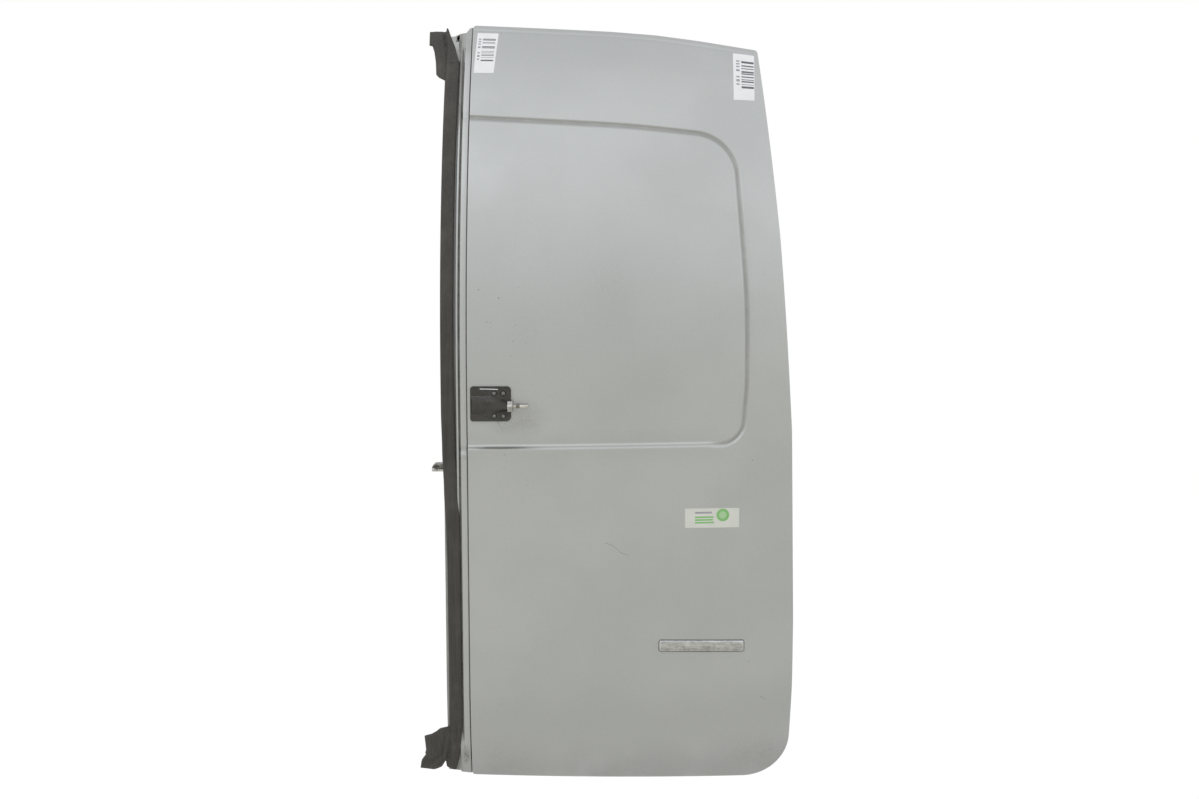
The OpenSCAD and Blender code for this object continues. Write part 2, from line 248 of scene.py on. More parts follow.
def flatPlate(name, line, d0, d1):
    # a plate on the flat sheet: a filled ring of points, extruded into the door
    deselectAll()
    bpy.ops.mesh.primitive_circle_add(vertices=len(line), radius=1, fill_type="NGON")
    piece = named(name)
    for v, p in zip(piece.data.vertices, line):
        v.co = (p[0], d0, p[1])
    bpy.ops.object.mode_set(mode="EDIT")
    bpy.ops.mesh.select_all(action="SELECT")
    bpy.ops.mesh.extrude_region_move(TRANSFORM_OT_translate={"value": (0, d1 - d0, 0)})
    bpy.ops.object.mode_set(mode="OBJECT")
    return cleanFaces(piece)


def selectFront(piece, d, within=0.01):
    # selects the faces that lie at depth d, and leaves the piece in edit mode
    pick(piece)
    bpy.ops.object.mode_set(mode="EDIT")
    bpy.ops.mesh.select_all(action="DESELECT")
    bpy.ops.mesh.select_mode(type="FACE")
    bpy.ops.object.mode_set(mode="OBJECT")
    for f in piece.data.polygons:
        f.select = abs(f.center.y - d) < within and abs(f.normal.y) > 0.9
    bpy.ops.object.mode_set(mode="EDIT")


def sliceSheet(piece, step):
    # cuts a flat piece into cells, so that it can follow the curved door
    xs = [v.co.x for v in piece.data.vertices]
    zs = [v.co.z for v in piece.data.vertices]
    pick(piece)
    bpy.ops.object.mode_set(mode="EDIT")
    for lo, hi, axis in ((min(xs), max(xs), 0), (min(zs), max(zs), 2)):
        cuts = int((hi - lo) / step)
        for k in range(1, cuts + 1):
            place, way = [0, 0, 0], [0, 0, 0]
            place[axis] = lo + (hi - lo) * k / (cuts + 1)
            way[axis] = 1
            bpy.ops.mesh.select_all(action="SELECT")
            bpy.ops.mesh.bisect(plane_co=place, plane_no=way)
    bpy.ops.object.mode_set(mode="OBJECT")
    return piece


def longStrip(name, section, z0, z1, cuts, shape):
    # a section drawn across the meeting edge, extruded along it and cut into rows
    deselectAll()
    bpy.ops.mesh.primitive_circle_add(vertices=len(section), radius=1, fill_type="NGON")
    piece = named(name)
    for v, p in zip(piece.data.vertices, section):
        v.co = (p[0], p[1], z0)
    bpy.ops.object.mode_set(mode="EDIT")
    bpy.ops.mesh.select_all(action="SELECT")
    bpy.ops.mesh.extrude_region_move(TRANSFORM_OT_translate={"value": (0, 0, z1 - z0)})
    for k in range(1, cuts):
        bpy.ops.mesh.select_all(action="SELECT")
        bpy.ops.mesh.bisect(plane_co=(0, 0, z0 + (z1 - z0) * k / cuts), plane_no=(0, 0, 1))
    bpy.ops.object.mode_set(mode="OBJECT")
    for v in piece.data.vertices:
        v.co = shape(v.co.copy())
    return cleanFaces(piece)


def turnedPart(name, profile, sides, d, z):
    # a part turned on a lathe, along x: a circle extruded and scaled from one (x, radius) pair to the next
    deselectAll()
    start, radius = profile[0]
    bpy.ops.mesh.primitive_circle_add(vertices=sides, radius=radius, fill_type="NGON")
    piece = named(name)
    bpy.ops.object.mode_set(mode="EDIT")
    bpy.ops.mesh.select_all(action="SELECT")
    for (a, ra), (b, rb) in zip(profile, profile[1:]):
        bpy.ops.mesh.extrude_region_move(TRANSFORM_OT_translate={"value": (0, 0, b - a)})
        bpy.ops.transform.resize(value=(rb / ra, rb / ra, 1), center_override=(0, 0, b - start))
    bpy.ops.object.mode_set(mode="OBJECT")
    for v in piece.data.vertices:
        v.co = (start + v.co.z, d + v.co.y, z + v.co.x)
    return cleanFaces(piece)


# Nodes for the materials
def plug(tree, node, key, value):
    if isinstance(value, bpy.types.NodeSocket):
        tree.links.new(value, node.inputs[key])
    elif value is not None:
        node.inputs[key].default_value = value


def addNode(tree, kind, plugs, **settings):
    node = tree.nodes.new("ShaderNode" + kind)
    for key, value in settings.items():
        setattr(node, key, value)
    for key, value in plugs.items():
        plug(tree, node, key, value)
    return node


def sums(tree, operation, a, b=None, c=None, clamp=False):
    return addNode(tree, "Math", {0: a, 1: b, 2: c}, operation=operation, use_clamp=clamp).outputs[0]


def vectorSums(tree, operation, a, b=None, out="Vector"):
    return addNode(tree, "VectorMath", {0: a, 1: b}, operation=operation).outputs[out]


def ranged(tree, value, low, high, toLow=0.0, toHigh=1.0):
    return addNode(tree, "MapRange", {"Value": value, "From Min": low, "From Max": high, "To Min": toLow,
                                      "To Max": toHigh}, interpolation_type="SMOOTHSTEP").outputs["Result"]


def blend(tree, share, a, b, kind="MIX"):
    node = addNode(tree, "Mix", {0: share, 6: a, 7: b}, data_type="RGBA", blend_type=kind)
    return node.outputs[2]


def noiseAt(tree, vector, scale, detail, roughness=0.5):
    return addNode(tree, "TexNoise", {"Vector": vector, "Scale": scale, "Detail": detail,
                                      "Roughness": roughness}).outputs["Fac"]


def newGroup(name, outputs, **inputs):
    # a group that takes values and vectors by name, and puts out values
    tree = bpy.data.node_groups.new(name, "ShaderNodeTree")
    kinds = {"value": "NodeSocketFloat", "vector": "NodeSocketVector"}
    for label, kind in inputs.items():
        tree.interface.new_socket(label, in_out="INPUT", socket_type=kinds[kind])
    for label in outputs:
        tree.interface.new_socket(label, in_out="OUTPUT", socket_type="NodeSocketFloat")
    given = tree.nodes.new("NodeGroupInput")
    result = tree.nodes.new("NodeGroupOutput")
    return tree, given.outputs, result


def placeGroup(tree, group, plugs, out=0):
    node = tree.nodes.new("ShaderNodeGroup")
    node.node_tree = group
    for key, value in plugs.items():
        plug(tree, node, key, value)
    return node.outputs[out]


# A soft round patch, 1 at its centre and 0 at its reach
softPatch, given, result = newGroup("softPatch", ["Fac"], Vector="vector", Centre="vector", Reach="vector")
away = vectorSums(softPatch, "SUBTRACT", given["Vector"], given["Centre"])
away = vectorSums(softPatch, "DIVIDE", away, given["Reach"])
far = vectorSums(softPatch, "LENGTH", away, out="Value")
plug(softPatch, result, "Fac", ranged(softPatch, far, 0.0, 1.0, 1.0, 0.0))

# Cloudy unevenness, and a finer grain that also gives a height
cloudy, given, result = newGroup("cloudy", ["Fac"], Vector="vector", Scale="value", Low="value", High="value")
noise = noiseAt(cloudy, given["Vector"], given["Scale"], 3.0, 0.55)
plug(cloudy, result, "Fac", ranged(cloudy, noise, given["Low"], given["High"]))

grain, given, result = newGroup("grain", ["Fac", "Height"], Vector="vector", Scale="value", Strength="value")
noise = noiseAt(grain, given["Vector"], given["Scale"], 2.0, 0.6)
centred = sums(grain, "SUBTRACT", noise, 0.5)
plug(grain, result, "Fac", sums(grain, "MULTIPLY_ADD", centred, given["Strength"], 0.5, clamp=True))
plug(grain, result, "Height", noise)

# Small specks of dirt or chipped paint, one here and there
specks, given, result = newGroup("specks", ["Fac"], Vector="vector", Scale="value", Size="value",
                                 Share="value")
cells = addNode(specks, "TexVoronoi", {"Vector": given["Vector"], "Scale": given["Scale"]})
near = sums(specks, "LESS_THAN", cells.outputs["Distance"], given["Size"])
picked = addNode(specks, "SeparateColor", {0: cells.outputs["Color"]}).outputs[0]
picked = sums(specks, "LESS_THAN", picked, given["Share"])
plug(specks, result, "Fac", sums(specks, "MULTIPLY", near, picked))

# Long streaks: noise drawn out by a different scale along each axis
streaks, given, result = newGroup("streaks", ["Fac"], Vector="vector", Stretch="vector", Low="value",
                                  High="value")
drawn = vectorSums(streaks, "MULTIPLY", given["Vector"], given["Stretch"])
noise = noiseAt(streaks, drawn, 1.0, 4.0, 0.6)
plug(streaks, result, "Fac", ranged(streaks, noise, given["Low"], given["High"]))

# A scratch: near to the straight line from start to end, and full over a third of its width
scratch, given, result = newGroup("scratch", ["Fac"], Vector="vector", Start="vector", End="vector",
                                  Width="value")
run = vectorSums(scratch, "SUBTRACT", given["End"], given["Start"])
away = vectorSums(scratch, "SUBTRACT", given["Vector"], given["Start"])
part = sums(scratch, "DIVIDE", vectorSums(scratch, "DOT_PRODUCT", away, run, "Value"),
            vectorSums(scratch, "DOT_PRODUCT", run, run, "Value"), clamp=True)
reached = addNode(scratch, "VectorMath", {0: run, 3: part}, operation="SCALE").outputs["Vector"]
off = vectorSums(scratch, "LENGTH", vectorSums(scratch, "SUBTRACT", away, reached), out="Value")
full = sums(scratch, "MULTIPLY", given["Width"], 0.3)
plug(scratch, result, "Fac", ranged(scratch, off, full, given["Width"], 1.0, 0.0))

# Edge wear: where a rounded normal leaves the true one
edgeWear, given, result = newGroup("edgeWear", ["Fac"], Radius="value", Reach="value")
rounded = addNode(edgeWear, "Bevel", {"Radius": given["Radius"]}, samples=6).outputs["Normal"]
trueNormal = addNode(edgeWear, "NewGeometry", {}).outputs["Normal"]
same = vectorSums(edgeWear, "DOT_PRODUCT", rounded, trueNormal, "Value")
plug(edgeWear, result, "Fac", ranged(edgeWear, sums(edgeWear, "SUBTRACT", 1.0, same), 0.0, given["Reach"]))


def cloudsAt(tree, place, scale, low, high):
    return placeGroup(tree, cloudy, {"Vector": place, "Scale": scale, "Low": low, "High": high})


def grainAt(tree, place, scale, strength, out=0):
    return placeGroup(tree, grain, {"Vector": place, "Scale": scale, "Strength": strength}, out)


def specksAt(tree, place, scale, size, share):
    return placeGroup(tree, specks, {"Vector": place, "Scale": scale, "Size": size, "Share": share})


def streaksAt(tree, place, stretch):
    return placeGroup(tree, streaks, {"Vector": place, "Stretch": stretch, "Low": 0.3, "High": 0.7})


def newMaterial(name, color, metallic=0.0, coat=0.0, coatRoughness=0.1):
    # a Principled material, its tree, the shader and its object coordinates
    m = bpy.data.materials.new(name)
    m.use_nodes = True
    m.diffuse_color = (*color, 1)
    tree = m.node_tree
    shader = tree.nodes["Principled BSDF"]
    shader.inputs["Metallic"].default_value = metallic
    shader.inputs["Coat Weight"].default_value = coat
    shader.inputs["Coat Roughness"].default_value = coatRoughness
    place = addNode(tree, "TexCoord", {}).outputs["Object"]
    return m, tree, shader, place


def bumpUp(tree, shader, height, strength, distance):
    bump = addNode(tree, "Bump", {"Height": height, "Strength": strength, "Distance": distance})
    plug(tree, shader, "Normal", bump.outputs["Normal"])


def rgb(r, g, b):
    return (r, g, b, 1)


# Silver paint, outside and inside
silver = {
    "pale": (0.466, 0.471, 0.459),
    "deep": (0.440, 0.446, 0.434),
    # colour of dirt, also used for the painted shade in the grooves and along the bottom
    "dirtAndShade": (0.150, 0.142, 0.125),
    "metallic": (0.55, 0.1),               # clean, and where the dirt and painted shade lie
    "roughness": (0.29, 0.37),             # of the pale clouds and of the deep ones
    "rougher": (0.1, 0.3),                 # how much rougher it is inside the door, and under the dirt and painted shade
    "coat": (0.25, 0.18),                  # weight and roughness
    "clouds": (5.0, 0.34, 0.66),           # scale, and the noise at which they begin and are full
    "flakes": (900.0, 0.9, 0.16),          # scale, strength and share
    "peel": (190.0, 0.06, 0.0004),         # scale, strength and height of the orange peel
    "specks": (70.0, 0.05, 0.10, 0.35),    # scale, size, how many cells have one, and how dark
    "bottomDirtAndShade": (-545, -640, 0.34),     # darker towards the bottom, dirt and painted shade of the tuck: where it starts and ends on the sheet, and how strong it gets
    "bottomClouds": (16.0, 0.2, 0.7, 0.6),   # clouds that break it up, and how much of it is left between them
    "grooveClouds": (40.0, 0.25, 0.65, 0.7),     # the same for the dirt and painted shade in the grooves
    "speckle": (380.0, 0.3, 0.7, 0.3, 1.7),    # grain of the blotches: scale, its range, and thin to thick
    "outerFace": (0.35, 0.1),              # how far a face may turn to the inside before its marks fade
    # middle, reach across and up, strength
    "blotches": [(230, 175, 62, 95, 0.07), (90, 108, 45, 60, 0.04), (96, -30, 42, 42, 0.14),
                 (60, -46, 34, 16, 0.16), (330, 540, 160, 60, 0.03), (470, -600, 90, 70, 0.10),
                 (60, -600, 90, 60, 0.08), (-9, -592, 9, 24, 0.6), (88, -38, 34, 14, 0.10)],
    # place and size
    "spots": [(19, 174, 1.6), (51, 161, 1.8), (32, 123, 1.4), (38, 122, 1.2), (78, 118, 1.2), (82, 178, 1.2),
              (74, 93, 1.3), (94, 91, 1.2), (70, 69, 1.1), (110, 109, 1.1), (96, -139, 1.1), (59, -89, 1.3),
              (460, -103, 1.4), (458, -439, 1.4), (50, -501, 1.2)],
    # from, to and width
    "scratches": [(220, -234, 233, -239, 0.9), (233, -239, 246, -251, 0.7), (246, -251, 257, -255, 0.9),
                  (478, -500, 487, -506, 1.0), (48, -36, 51.5, -40, 1.0)],
    "scratchDark": 0.45,
}


def patchAt(tree, flat, x, z, wide, high):
    return placeGroup(tree, softPatch, {"Vector": flat, "Centre": onDoor(x, z),
                                        "Reach": (wide / 1000, 1, high / 1000)})


def outerMarks(tree, place):
    # dirt and painted shade along the bottom, blotches, spots, scratches, and dirt and painted shade in the
    # grooves
    flat = vectorSums(tree, "MULTIPLY", place, (1, 0, 1))
    height = addNode(tree, "SeparateXYZ", {0: flat}).outputs["Z"]
    # darker towards the bottom: dirt, with painted shade where the skin tucks under
    top, low, strong = silver["bottomDirtAndShade"]
    band = ranged(tree, height, doorZero.z + top / 1000, doorZero.z + low / 1000, 0.0, strong)
    scale, begins, full, left = silver["bottomClouds"]
    dusty = cloudsAt(tree, place, scale, begins, full)
    marks = sums(tree, "MULTIPLY", band, ranged(tree, dusty, 0.0, 1.0, left, 1.0))
    scale, *bounds = silver["speckle"]
    speckle = ranged(tree, grainAt(tree, place, scale, 1.0), *bounds)
    for x, z, wide, high, strength in silver["blotches"]:
        patch = sums(tree, "MULTIPLY", patchAt(tree, flat, x, z, wide, high), strength)
        marks = sums(tree, "MULTIPLY_ADD", patch, speckle, marks)
    for x, z, size in silver["spots"]:
        marks = sums(tree, "ADD", marks, patchAt(tree, flat, x, z, size, size))
    for x0, z0, x1, z1, width in silver["scratches"]:
        line = placeGroup(tree, scratch, {"Vector": flat, "Start": onDoor(x0, z0), "End": onDoor(x1, z1),
                                          "Width": width / 1000})
        marks = sums(tree, "MULTIPLY_ADD", line, silver["scratchDark"], marks)
    # dirt and painted shade in the grooves, read from the meshes
    groove = addNode(tree, "Attribute", {}, attribute_name="grimeAndShade").outputs["Fac"]
    scale, begins, full, left = silver["grooveClouds"]
    patchy = cloudsAt(tree, place, scale, begins, full)
    marks = sums(tree, "MULTIPLY_ADD", groove, ranged(tree, patchy, 0.0, 1.0, left, 1.0), marks)
    # they lie on the outer face alone, and not on the back of the same sheet
    normal = addNode(tree, "NewGeometry", {}).outputs["Normal"]
    backwards = addNode(tree, "SeparateXYZ", {0: normal}).outputs["Y"]
    return marks, ranged(tree, backwards, *silver["outerFace"])


def paintMaterial(name, outside):
    cleanMetal, metalUnderDirtAndShade = silver["metallic"]
    m, tree, shader, place = newMaterial(name, silver["pale"], cleanMetal, *silver["coat"])
    clouds = cloudsAt(tree, place, *silver["clouds"])
    color = blend(tree, clouds, rgb(*silver["deep"]), rgb(*silver["pale"]))
    scale, strength, share = silver["flakes"]
    flakes = grainAt(tree, place, scale, strength)
    flakes = addNode(tree, "CombineColor", {0: flakes, 1: flakes, 2: flakes}).outputs[0]
    color = blend(tree, share, color, flakes, "OVERLAY")
    scale, size, share, dark = silver["specks"]
    dirtAndShade = sums(tree, "MULTIPLY", specksAt(tree, place, scale, size, share), dark)
    if outside:
        marks, onOuterFace = outerMarks(tree, place)
        dirtAndShade = sums(tree, "MULTIPLY_ADD", marks, onOuterFace, dirtAndShade)
    dirtAndShade = sums(tree, "MINIMUM", dirtAndShade, 1.0)
    # dirt and painted shade pull the paint towards the dirt colour
    color = blend(tree, dirtAndShade, color, rgb(*silver["dirtAndShade"]))
    plug(tree, shader, "Base Color", color)
    paleRough, deepRough = silver["roughness"]
    inside, roughUnderDirtAndShade = silver["rougher"]
    more = 0 if outside else inside
    sheen = ranged(tree, clouds, 0.0, 1.0, deepRough + more, paleRough + more)
    plug(tree, shader, "Roughness", sums(tree, "MULTIPLY_ADD", dirtAndShade, roughUnderDirtAndShade, sheen, clamp=True))
    plug(tree, shader, "Metallic", ranged(tree, dirtAndShade, 0.0, 1.0, cleanMetal, metalUnderDirtAndShade))
    scale, strength, high = silver["peel"]
    bumpUp(tree, shader, noiseAt(tree, place, scale, 1.0), strength, high)
    return m


paint = paintMaterial("silverPaint", True)
paintInside = paintMaterial("silverPaintInside", False)

# Dusty black rubber, streaked along its length
rubberLook = {
    "dark": (0.027, 0.0245, 0.020),
    "worn": (0.054, 0.050, 0.043),
    "dust": (0.155, 0.145, 0.124),
    "streaks": (420, 420, 9),
    "clouds": (22.0, 0.42, 0.8, 0.22),     # of dust: scale, where they begin and are full, and strength
    "rubbed": (0.0012, 0.25, 0.16),        # edges: radius, reach and strength
    "dots": (160.0, 0.12, 0.12, 0.3),      # of dust: scale, size, how many cells have one, and strength
    "roughness": (0.58, 0.72),
    "grain": (700.0, 0.25, 0.0003),        # scale, strength and height
}
rubber, tree, shader, place = newMaterial("dustyRubber", rubberLook["worn"])
long = streaksAt(tree, place, rubberLook["streaks"])
color = blend(tree, long, rgb(*rubberLook["dark"]), rgb(*rubberLook["worn"]))
*clouds, dusty = rubberLook["clouds"]
dust = cloudsAt(tree, place, *clouds)
radius, reach, rubbed = rubberLook["rubbed"]
rub = placeGroup(tree, edgeWear, {"Radius": radius, "Reach": reach})
dust = sums(tree, "MULTIPLY_ADD", dust, dusty, sums(tree, "MULTIPLY", rub, rubbed))
*dots, dotted = rubberLook["dots"]
dust = sums(tree, "MULTIPLY_ADD", specksAt(tree, place, *dots), dotted, dust, clamp=True)
plug(tree, shader, "Base Color", blend(tree, dust, color, rgb(*rubberLook["dust"])))
plug(tree, shader, "Roughness", ranged(tree, long, 0.0, 1.0, *rubberLook["roughness"]))
scale, strength, high = rubberLook["grain"]
bumpUp(tree, shader, grainAt(tree, place, scale, 1.0, 1), strength, high)

# Bare and coated metals share their way of ageing
metalWork = {
    "blotches": (120.0, 0.35, 0.7, 0.4),   # scale, where they begin and are full, and share beside the grain
    "spots": (260.0, 0.22, 0.6, 0.35),     # scale, size, strength, and how dark beside the metal's dark
    "rubbed": (0.0008, 0.3),               # edges: radius and reach
    "rubbedClouds": (300.0, 0.3, 0.6),
    "rougher": (0.1, -0.05),               # where it is dark and where it is light
    "bump": (0.12, 0.0002),
}


def grainedMetal(name, dark, light, metallic, roughness, stretch, wear=None, spots=0.0):
    # drawn-out grain, blotches, and paler edges where it is rubbed
    m, tree, shader, place = newMaterial(name, light, metallic)
    lines = streaksAt(tree, place, stretch)
    *clouds, share = metalWork["blotches"]
    blotch = cloudsAt(tree, place, *clouds)
    mixed = sums(tree, "MULTIPLY_ADD", blotch, share, sums(tree, "MULTIPLY", lines, 1 - share))
    color = blend(tree, mixed, rgb(*dark), rgb(*light))
    if spots:
        scale, size, strong, darker = metalWork["spots"]
        dots = sums(tree, "MULTIPLY", specksAt(tree, place, scale, size, spots), strong)
        color = blend(tree, dots, color, rgb(*[c * darker for c in dark]))
    if wear:
        radius, reach = metalWork["rubbed"]
        rub = placeGroup(tree, edgeWear, {"Radius": radius, "Reach": reach})
        worn = cloudsAt(tree, place, *metalWork["rubbedClouds"])
        color = blend(tree, sums(tree, "MULTIPLY", rub, worn), color, rgb(*wear))
    plug(tree, shader, "Base Color", color)
    onDark, onLight = metalWork["rougher"]
    plug(tree, shader, "Roughness", ranged(tree, mixed, 0.0, 1.0, roughness + onDark, roughness + onLight))
    bumpUp(tree, shader, lines, *metalWork["bump"])
    return m


black = grainedMetal("blackPowderCoat", (0.024, 0.022, 0.018), (0.050, 0.047, 0.040), 0.0, 0.44,
                     (500, 500, 500), wear=(0.13, 0.125, 0.12), spots=0.10)
screwSteel = grainedMetal("darkScrewSteel", (0.08, 0.08, 0.076), (0.27, 0.266, 0.255), 0.9, 0.34,
                          (900, 900, 900), wear=(0.7, 0.69, 0.66), spots=0.08)
steel = grainedMetal("bareSteel", (0.42, 0.41, 0.39), (0.66, 0.65, 0.62), 1.0, 0.30, (60, 900, 900),
                     spots=0.06)
zinc = grainedMetal("dullZinc", (0.13, 0.122, 0.10), (0.34, 0.325, 0.275), 0.7, 0.42, (140, 300, 300),
                    wear=(0.6, 0.58, 0.5), spots=0.12)
brass = grainedMetal("paleBrass", (0.46, 0.44, 0.38), (0.74, 0.72, 0.66), 1.0, 0.30, (80, 900, 900),
                     spots=0.08)
bracketSteel = grainedMetal("agedBracketSteel", (0.035, 0.034, 0.030), (0.33, 0.32, 0.28), 0.8, 0.38,
                            (140, 300, 300), wear=(0.6, 0.59, 0.55), spots=0.2)
nutSteel = grainedMetal("nutSteel", (0.24, 0.235, 0.21), (0.56, 0.55, 0.51), 1.0, 0.32, (60, 900, 900),
                        spots=0.10)
chrome = grainedMetal("chromeTrim", (0.36, 0.362, 0.355), (0.60, 0.602, 0.59), 1.0, 0.14, (40, 300, 300),
                      spots=0.02)

printWork = {
    "fibres": (1200.0, 0.8),
    "tired": (45.0, 0.3, 0.75),
    "rougher": 0.12,                       # where it is tired
    "bump": (0.05, 0.0001),
}


def printedSheet(name, color, shade, roughness):
    # paper, film or ink: fibres, faint yellowing and a soft sheen
    m, tree, shader, place = newMaterial(name, color)
    fibres = grainAt(tree, place, *printWork["fibres"])
    tired = cloudsAt(tree, place, *printWork["tired"])
    shaded = sums(tree, "MULTIPLY", fibres, tired)
    plug(tree, shader, "Base Color", blend(tree, shaded, rgb(*color), rgb(*shade)))
    rougher = roughness + printWork["rougher"]
    plug(tree, shader, "Roughness", ranged(tree, tired, 0.0, 1.0, roughness, rougher))
    bumpUp(tree, shader, fibres, *printWork["bump"])
    return m


paper = printedSheet("labelPaper", (0.80, 0.80, 0.81), (0.72, 0.72, 0.72), 0.55)
ink = printedSheet("labelInk", (0.115, 0.118, 0.135), (0.17, 0.17, 0.19), 0.5)
inkGrey = printedSheet("labelInkPale", (0.30, 0.30, 0.33), (0.40, 0.40, 0.42), 0.5)
stickerFilm = printedSheet("stickerFilm", (0.64, 0.635, 0.585), (0.56, 0.56, 0.51), 0.38)
stickerGreen = printedSheet("stickerGreen", (0.20, 0.46, 0.15), (0.27, 0.53, 0.20), 0.38)
stickerPale = printedSheet("stickerPaleGreen", (0.36, 0.55, 0.30), (0.42, 0.60, 0.36), 0.38)

slotFinish = {"paint": paint, "paint_inside": paintInside, "seal_rubber": rubber, "lock_black": black,
              "bare_steel": steel, "zinc": zinc, "brass": brass, "chrome": chrome}
for part in frame["record"]["subparts"]:
    for place in frame["nodes"][part["node"]].material_slots:
        place.material = slotFinish[part["material_slot"]]
print("materials done")


def finish(piece, mat, slot, *stands):
    piece.data.materials.clear()
    piece.data.materials.append(mat)
    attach(piece, "root")
    if stands:
        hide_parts(*stands)
    return piece


def fitted(piece, mat, slot, *stands, degrees=None, bent=True):
    layOnDoor(piece, bent)
    if degrees:
        smoothBy(piece, degrees)
    return finish(piece, mat, slot, *stands)


# Outer skin
skin = {
    "corners": [(0, -628, 5), (527.5, -647.96, 74), (532.49, -480, 900), (532.49, -56, 7200),
                (477, 573, 7), (305, 599, 1400), (0, 612, 6)],
    "bead": [(-60, -78.5, 0), (442.7, -76, 40), (449.9, 20, 300), (450.2, 150, 1500),
             (431.6, 421, 75), (260, 438, 1200), (-60, 453.8, 0)],
    # sections of the bead at the top and side, and along the bottom: place across it, and depth
    "groove": [(-26, 0), (-14, 0), (-7, 0), (-5.6, 0.04), (-4.6, 0.32), (-3.4, 1.15), (-2.2, 2.15),
               (-1, 2.75), (0, 2.9), (1, 2.75), (2.2, 2.15), (3.4, 1.15), (4.6, 0.32), (5.6, 0.04), (7, 0),
               (20, 0)],
    "ledge": [(-26, 0), (-14, 0.9), (-7, 1.5), (-5.6, 1.62), (-4.6, 1.45), (-3.4, 0.75), (-2.2, 0.15),
              (-1, 0.0), (0, 0.0), (1, -0.35), (2.2, -1.0), (3.4, -1.35), (4.6, -1.35), (5.6, -1.3),
              (7, -1.2), (20, 0)],
    "ledgeRuns": (-20, 45, 430, 50),           # starts below a height, over so much, and ends at a place
    "rim": [(0.5, 0.1), (0.9, 0.36), (1.15, 0.85), (1.2, 1.5), (1.2, 2.2), (0.9, 2.7), (0.4, 3.0), (-8, 3.0)],
    "rimWidth": 1.2,
    "leftDrift": (0.038, 0.043),               # how far up the left corners go as the outline moves in
    "edgeRings": (12, 9.5, 8, 6.5, 3, 1.5, 0),     # how far in from the outline
    "hem": [(0, 0.9), (3, 0.25), (6.5, 0.0), (8, 0.55), (9.5, 0.1), (12, 0)],
    "hemRuns": (560, 472, 8),                  # above a height and left of a place, and over how much
    "thickness": 0.8,
    "rows": 30,
    "grooveDirtAndShade": (0.46, 0.10, 2.8),          # dirt and painted shade in the groove: along the top and side, along the bottom, and its reach in mm
    "lockDarkening": (1.5, 54, 44, 1.9),           # darker in the groove under the lock: strength, middle, reach, and width
    "grooveSteps": 1500,
    "along": [0, .003, .006, .009, .012, .016] + [.035 + .0196 * k for k in range(39)]
             + [.80 + .0125 * k for k in range(15)] + [.9775 + .0025 * k for k in range(10)],
    "upward": [.006 * k for k in range(20)] + [.12 + .018 * k for k in range(41)]
              + [.858 + .0095 * k for k in range(14)] + [.988 + .0012 * k for k in range(10)] + [1],
}
left = skin["rimWidth"]


def beadLine(by):
    # the groove's run from its lower left end to its upper left end, cut off at the skin's rim
    line = roundedLine(insetCorners(skin["bead"], -by), 4, closed=False)
    ends = []
    for a, b in ((line[0], line[1]), (line[-1], line[-2])):
        ends.append(a.lerp(b, (left - a.x) / (b.x - a.x)))
    return [ends[0]] + line[1:-1] + [ends[1]]


def edgeLine(by):
    # the skin's outline moved in by so much, but its left side stays at the rim
    corners = insetCorners(skin["corners"], left + by)
    radius = max(skin["corners"][0][2] - left - by, 0)
    low, high = skin["leftDrift"]
    corners[0] = (left, corners[0][1] + low * by, radius)
    corners[-1] = (left, corners[-1][1] + high * by, radius)
    return roundedLine(corners, 4)


def sampleRun(run, fractions):
    lengths = [0.0]
    for a, b in zip(run, run[1:]):
        lengths.append(lengths[-1] + (b - a).length)
    out, k = [], 0
    for f in fractions:
        goal = f * lengths[-1]
        while k < len(run) - 2 and lengths[k + 1] < goal:
            k += 1
        span = lengths[k + 1] - lengths[k]
        out.append(run[k].lerp(run[k + 1], (goal - lengths[k]) / span if span else 0))
    return out


def threeSides(line):
    # the same count of points along the bottom, up the right side and back along the top
    low = max(range(len(line)), key=lambda i: line[i].x - line[i].y)
    high = max(range(len(line)), key=lambda i: line[i].x + line[i].y)
    bottom = sampleRun(line[:low + 1], skin["along"])
    right = sampleRun(line[low:high + 1], skin["upward"])
    top = sampleRun(line[high:][::-1], skin["along"])[::-1]
    return bottom + right[1:] + top[1:]


def profileAt(profile, s):
    for (a, da), (b, db) in zip(profile, profile[1:]):
        if s <= b:
            return da + (db - da) * (s - a) / (b - a)
    return profile[-1][1]


def lowBead(p):
    below, overHeight, ends, overLength = skin["ledgeRuns"]
    return ease((below - p.y) / overHeight) * ease((ends - p.x) / overLength)


def beadDepth(p, s):
    # a plain groove at the top and side, turning to a ledge over a shallow groove along the bottom
    low = lowBead(p)
    return (1 - low) * profileAt(skin["groove"], s) + low * profileAt(skin["ledge"], s)


def edgeDepth(p, q):
    # along the top edge the hem shows as a band below the edge
    above, ends, over = skin["hemRuns"]
    return ease((p.y - above) / over) * ease((ends - p.x) / over) * profileAt(skin["hem"], q)


rings = []
for s, _ in skin["groove"]:
    rings.append([(p, beadDepth(p, s)) for p in threeSides(beadLine(s))])
outer = threeSides(edgeLine(skin["edgeRings"][0]))
beadEdge = [p for p, _ in rings[-1]]
for k in range(1, skin["rows"]):
    rings.append([(a.lerp(b, k / skin["rows"]), 0) for a, b in zip(beadEdge, outer)])
for q in skin["edgeRings"]:
    rings.append([(p, edgeDepth(p, q)) for p in threeSides(edgeLine(q))])
verts, faces = [], []


def addRow(row):
    start = len(verts)
    verts.extend((p.x, d, p.y) for p, d in row)
    return list(range(start, len(verts)))


rows = [addRow(ring) for ring in rings]
for a, b in zip(rows, rows[1:]):
    faces += [(a[i], a[i + 1], b[i + 1], b[i]) for i in range(len(a) - 1)]

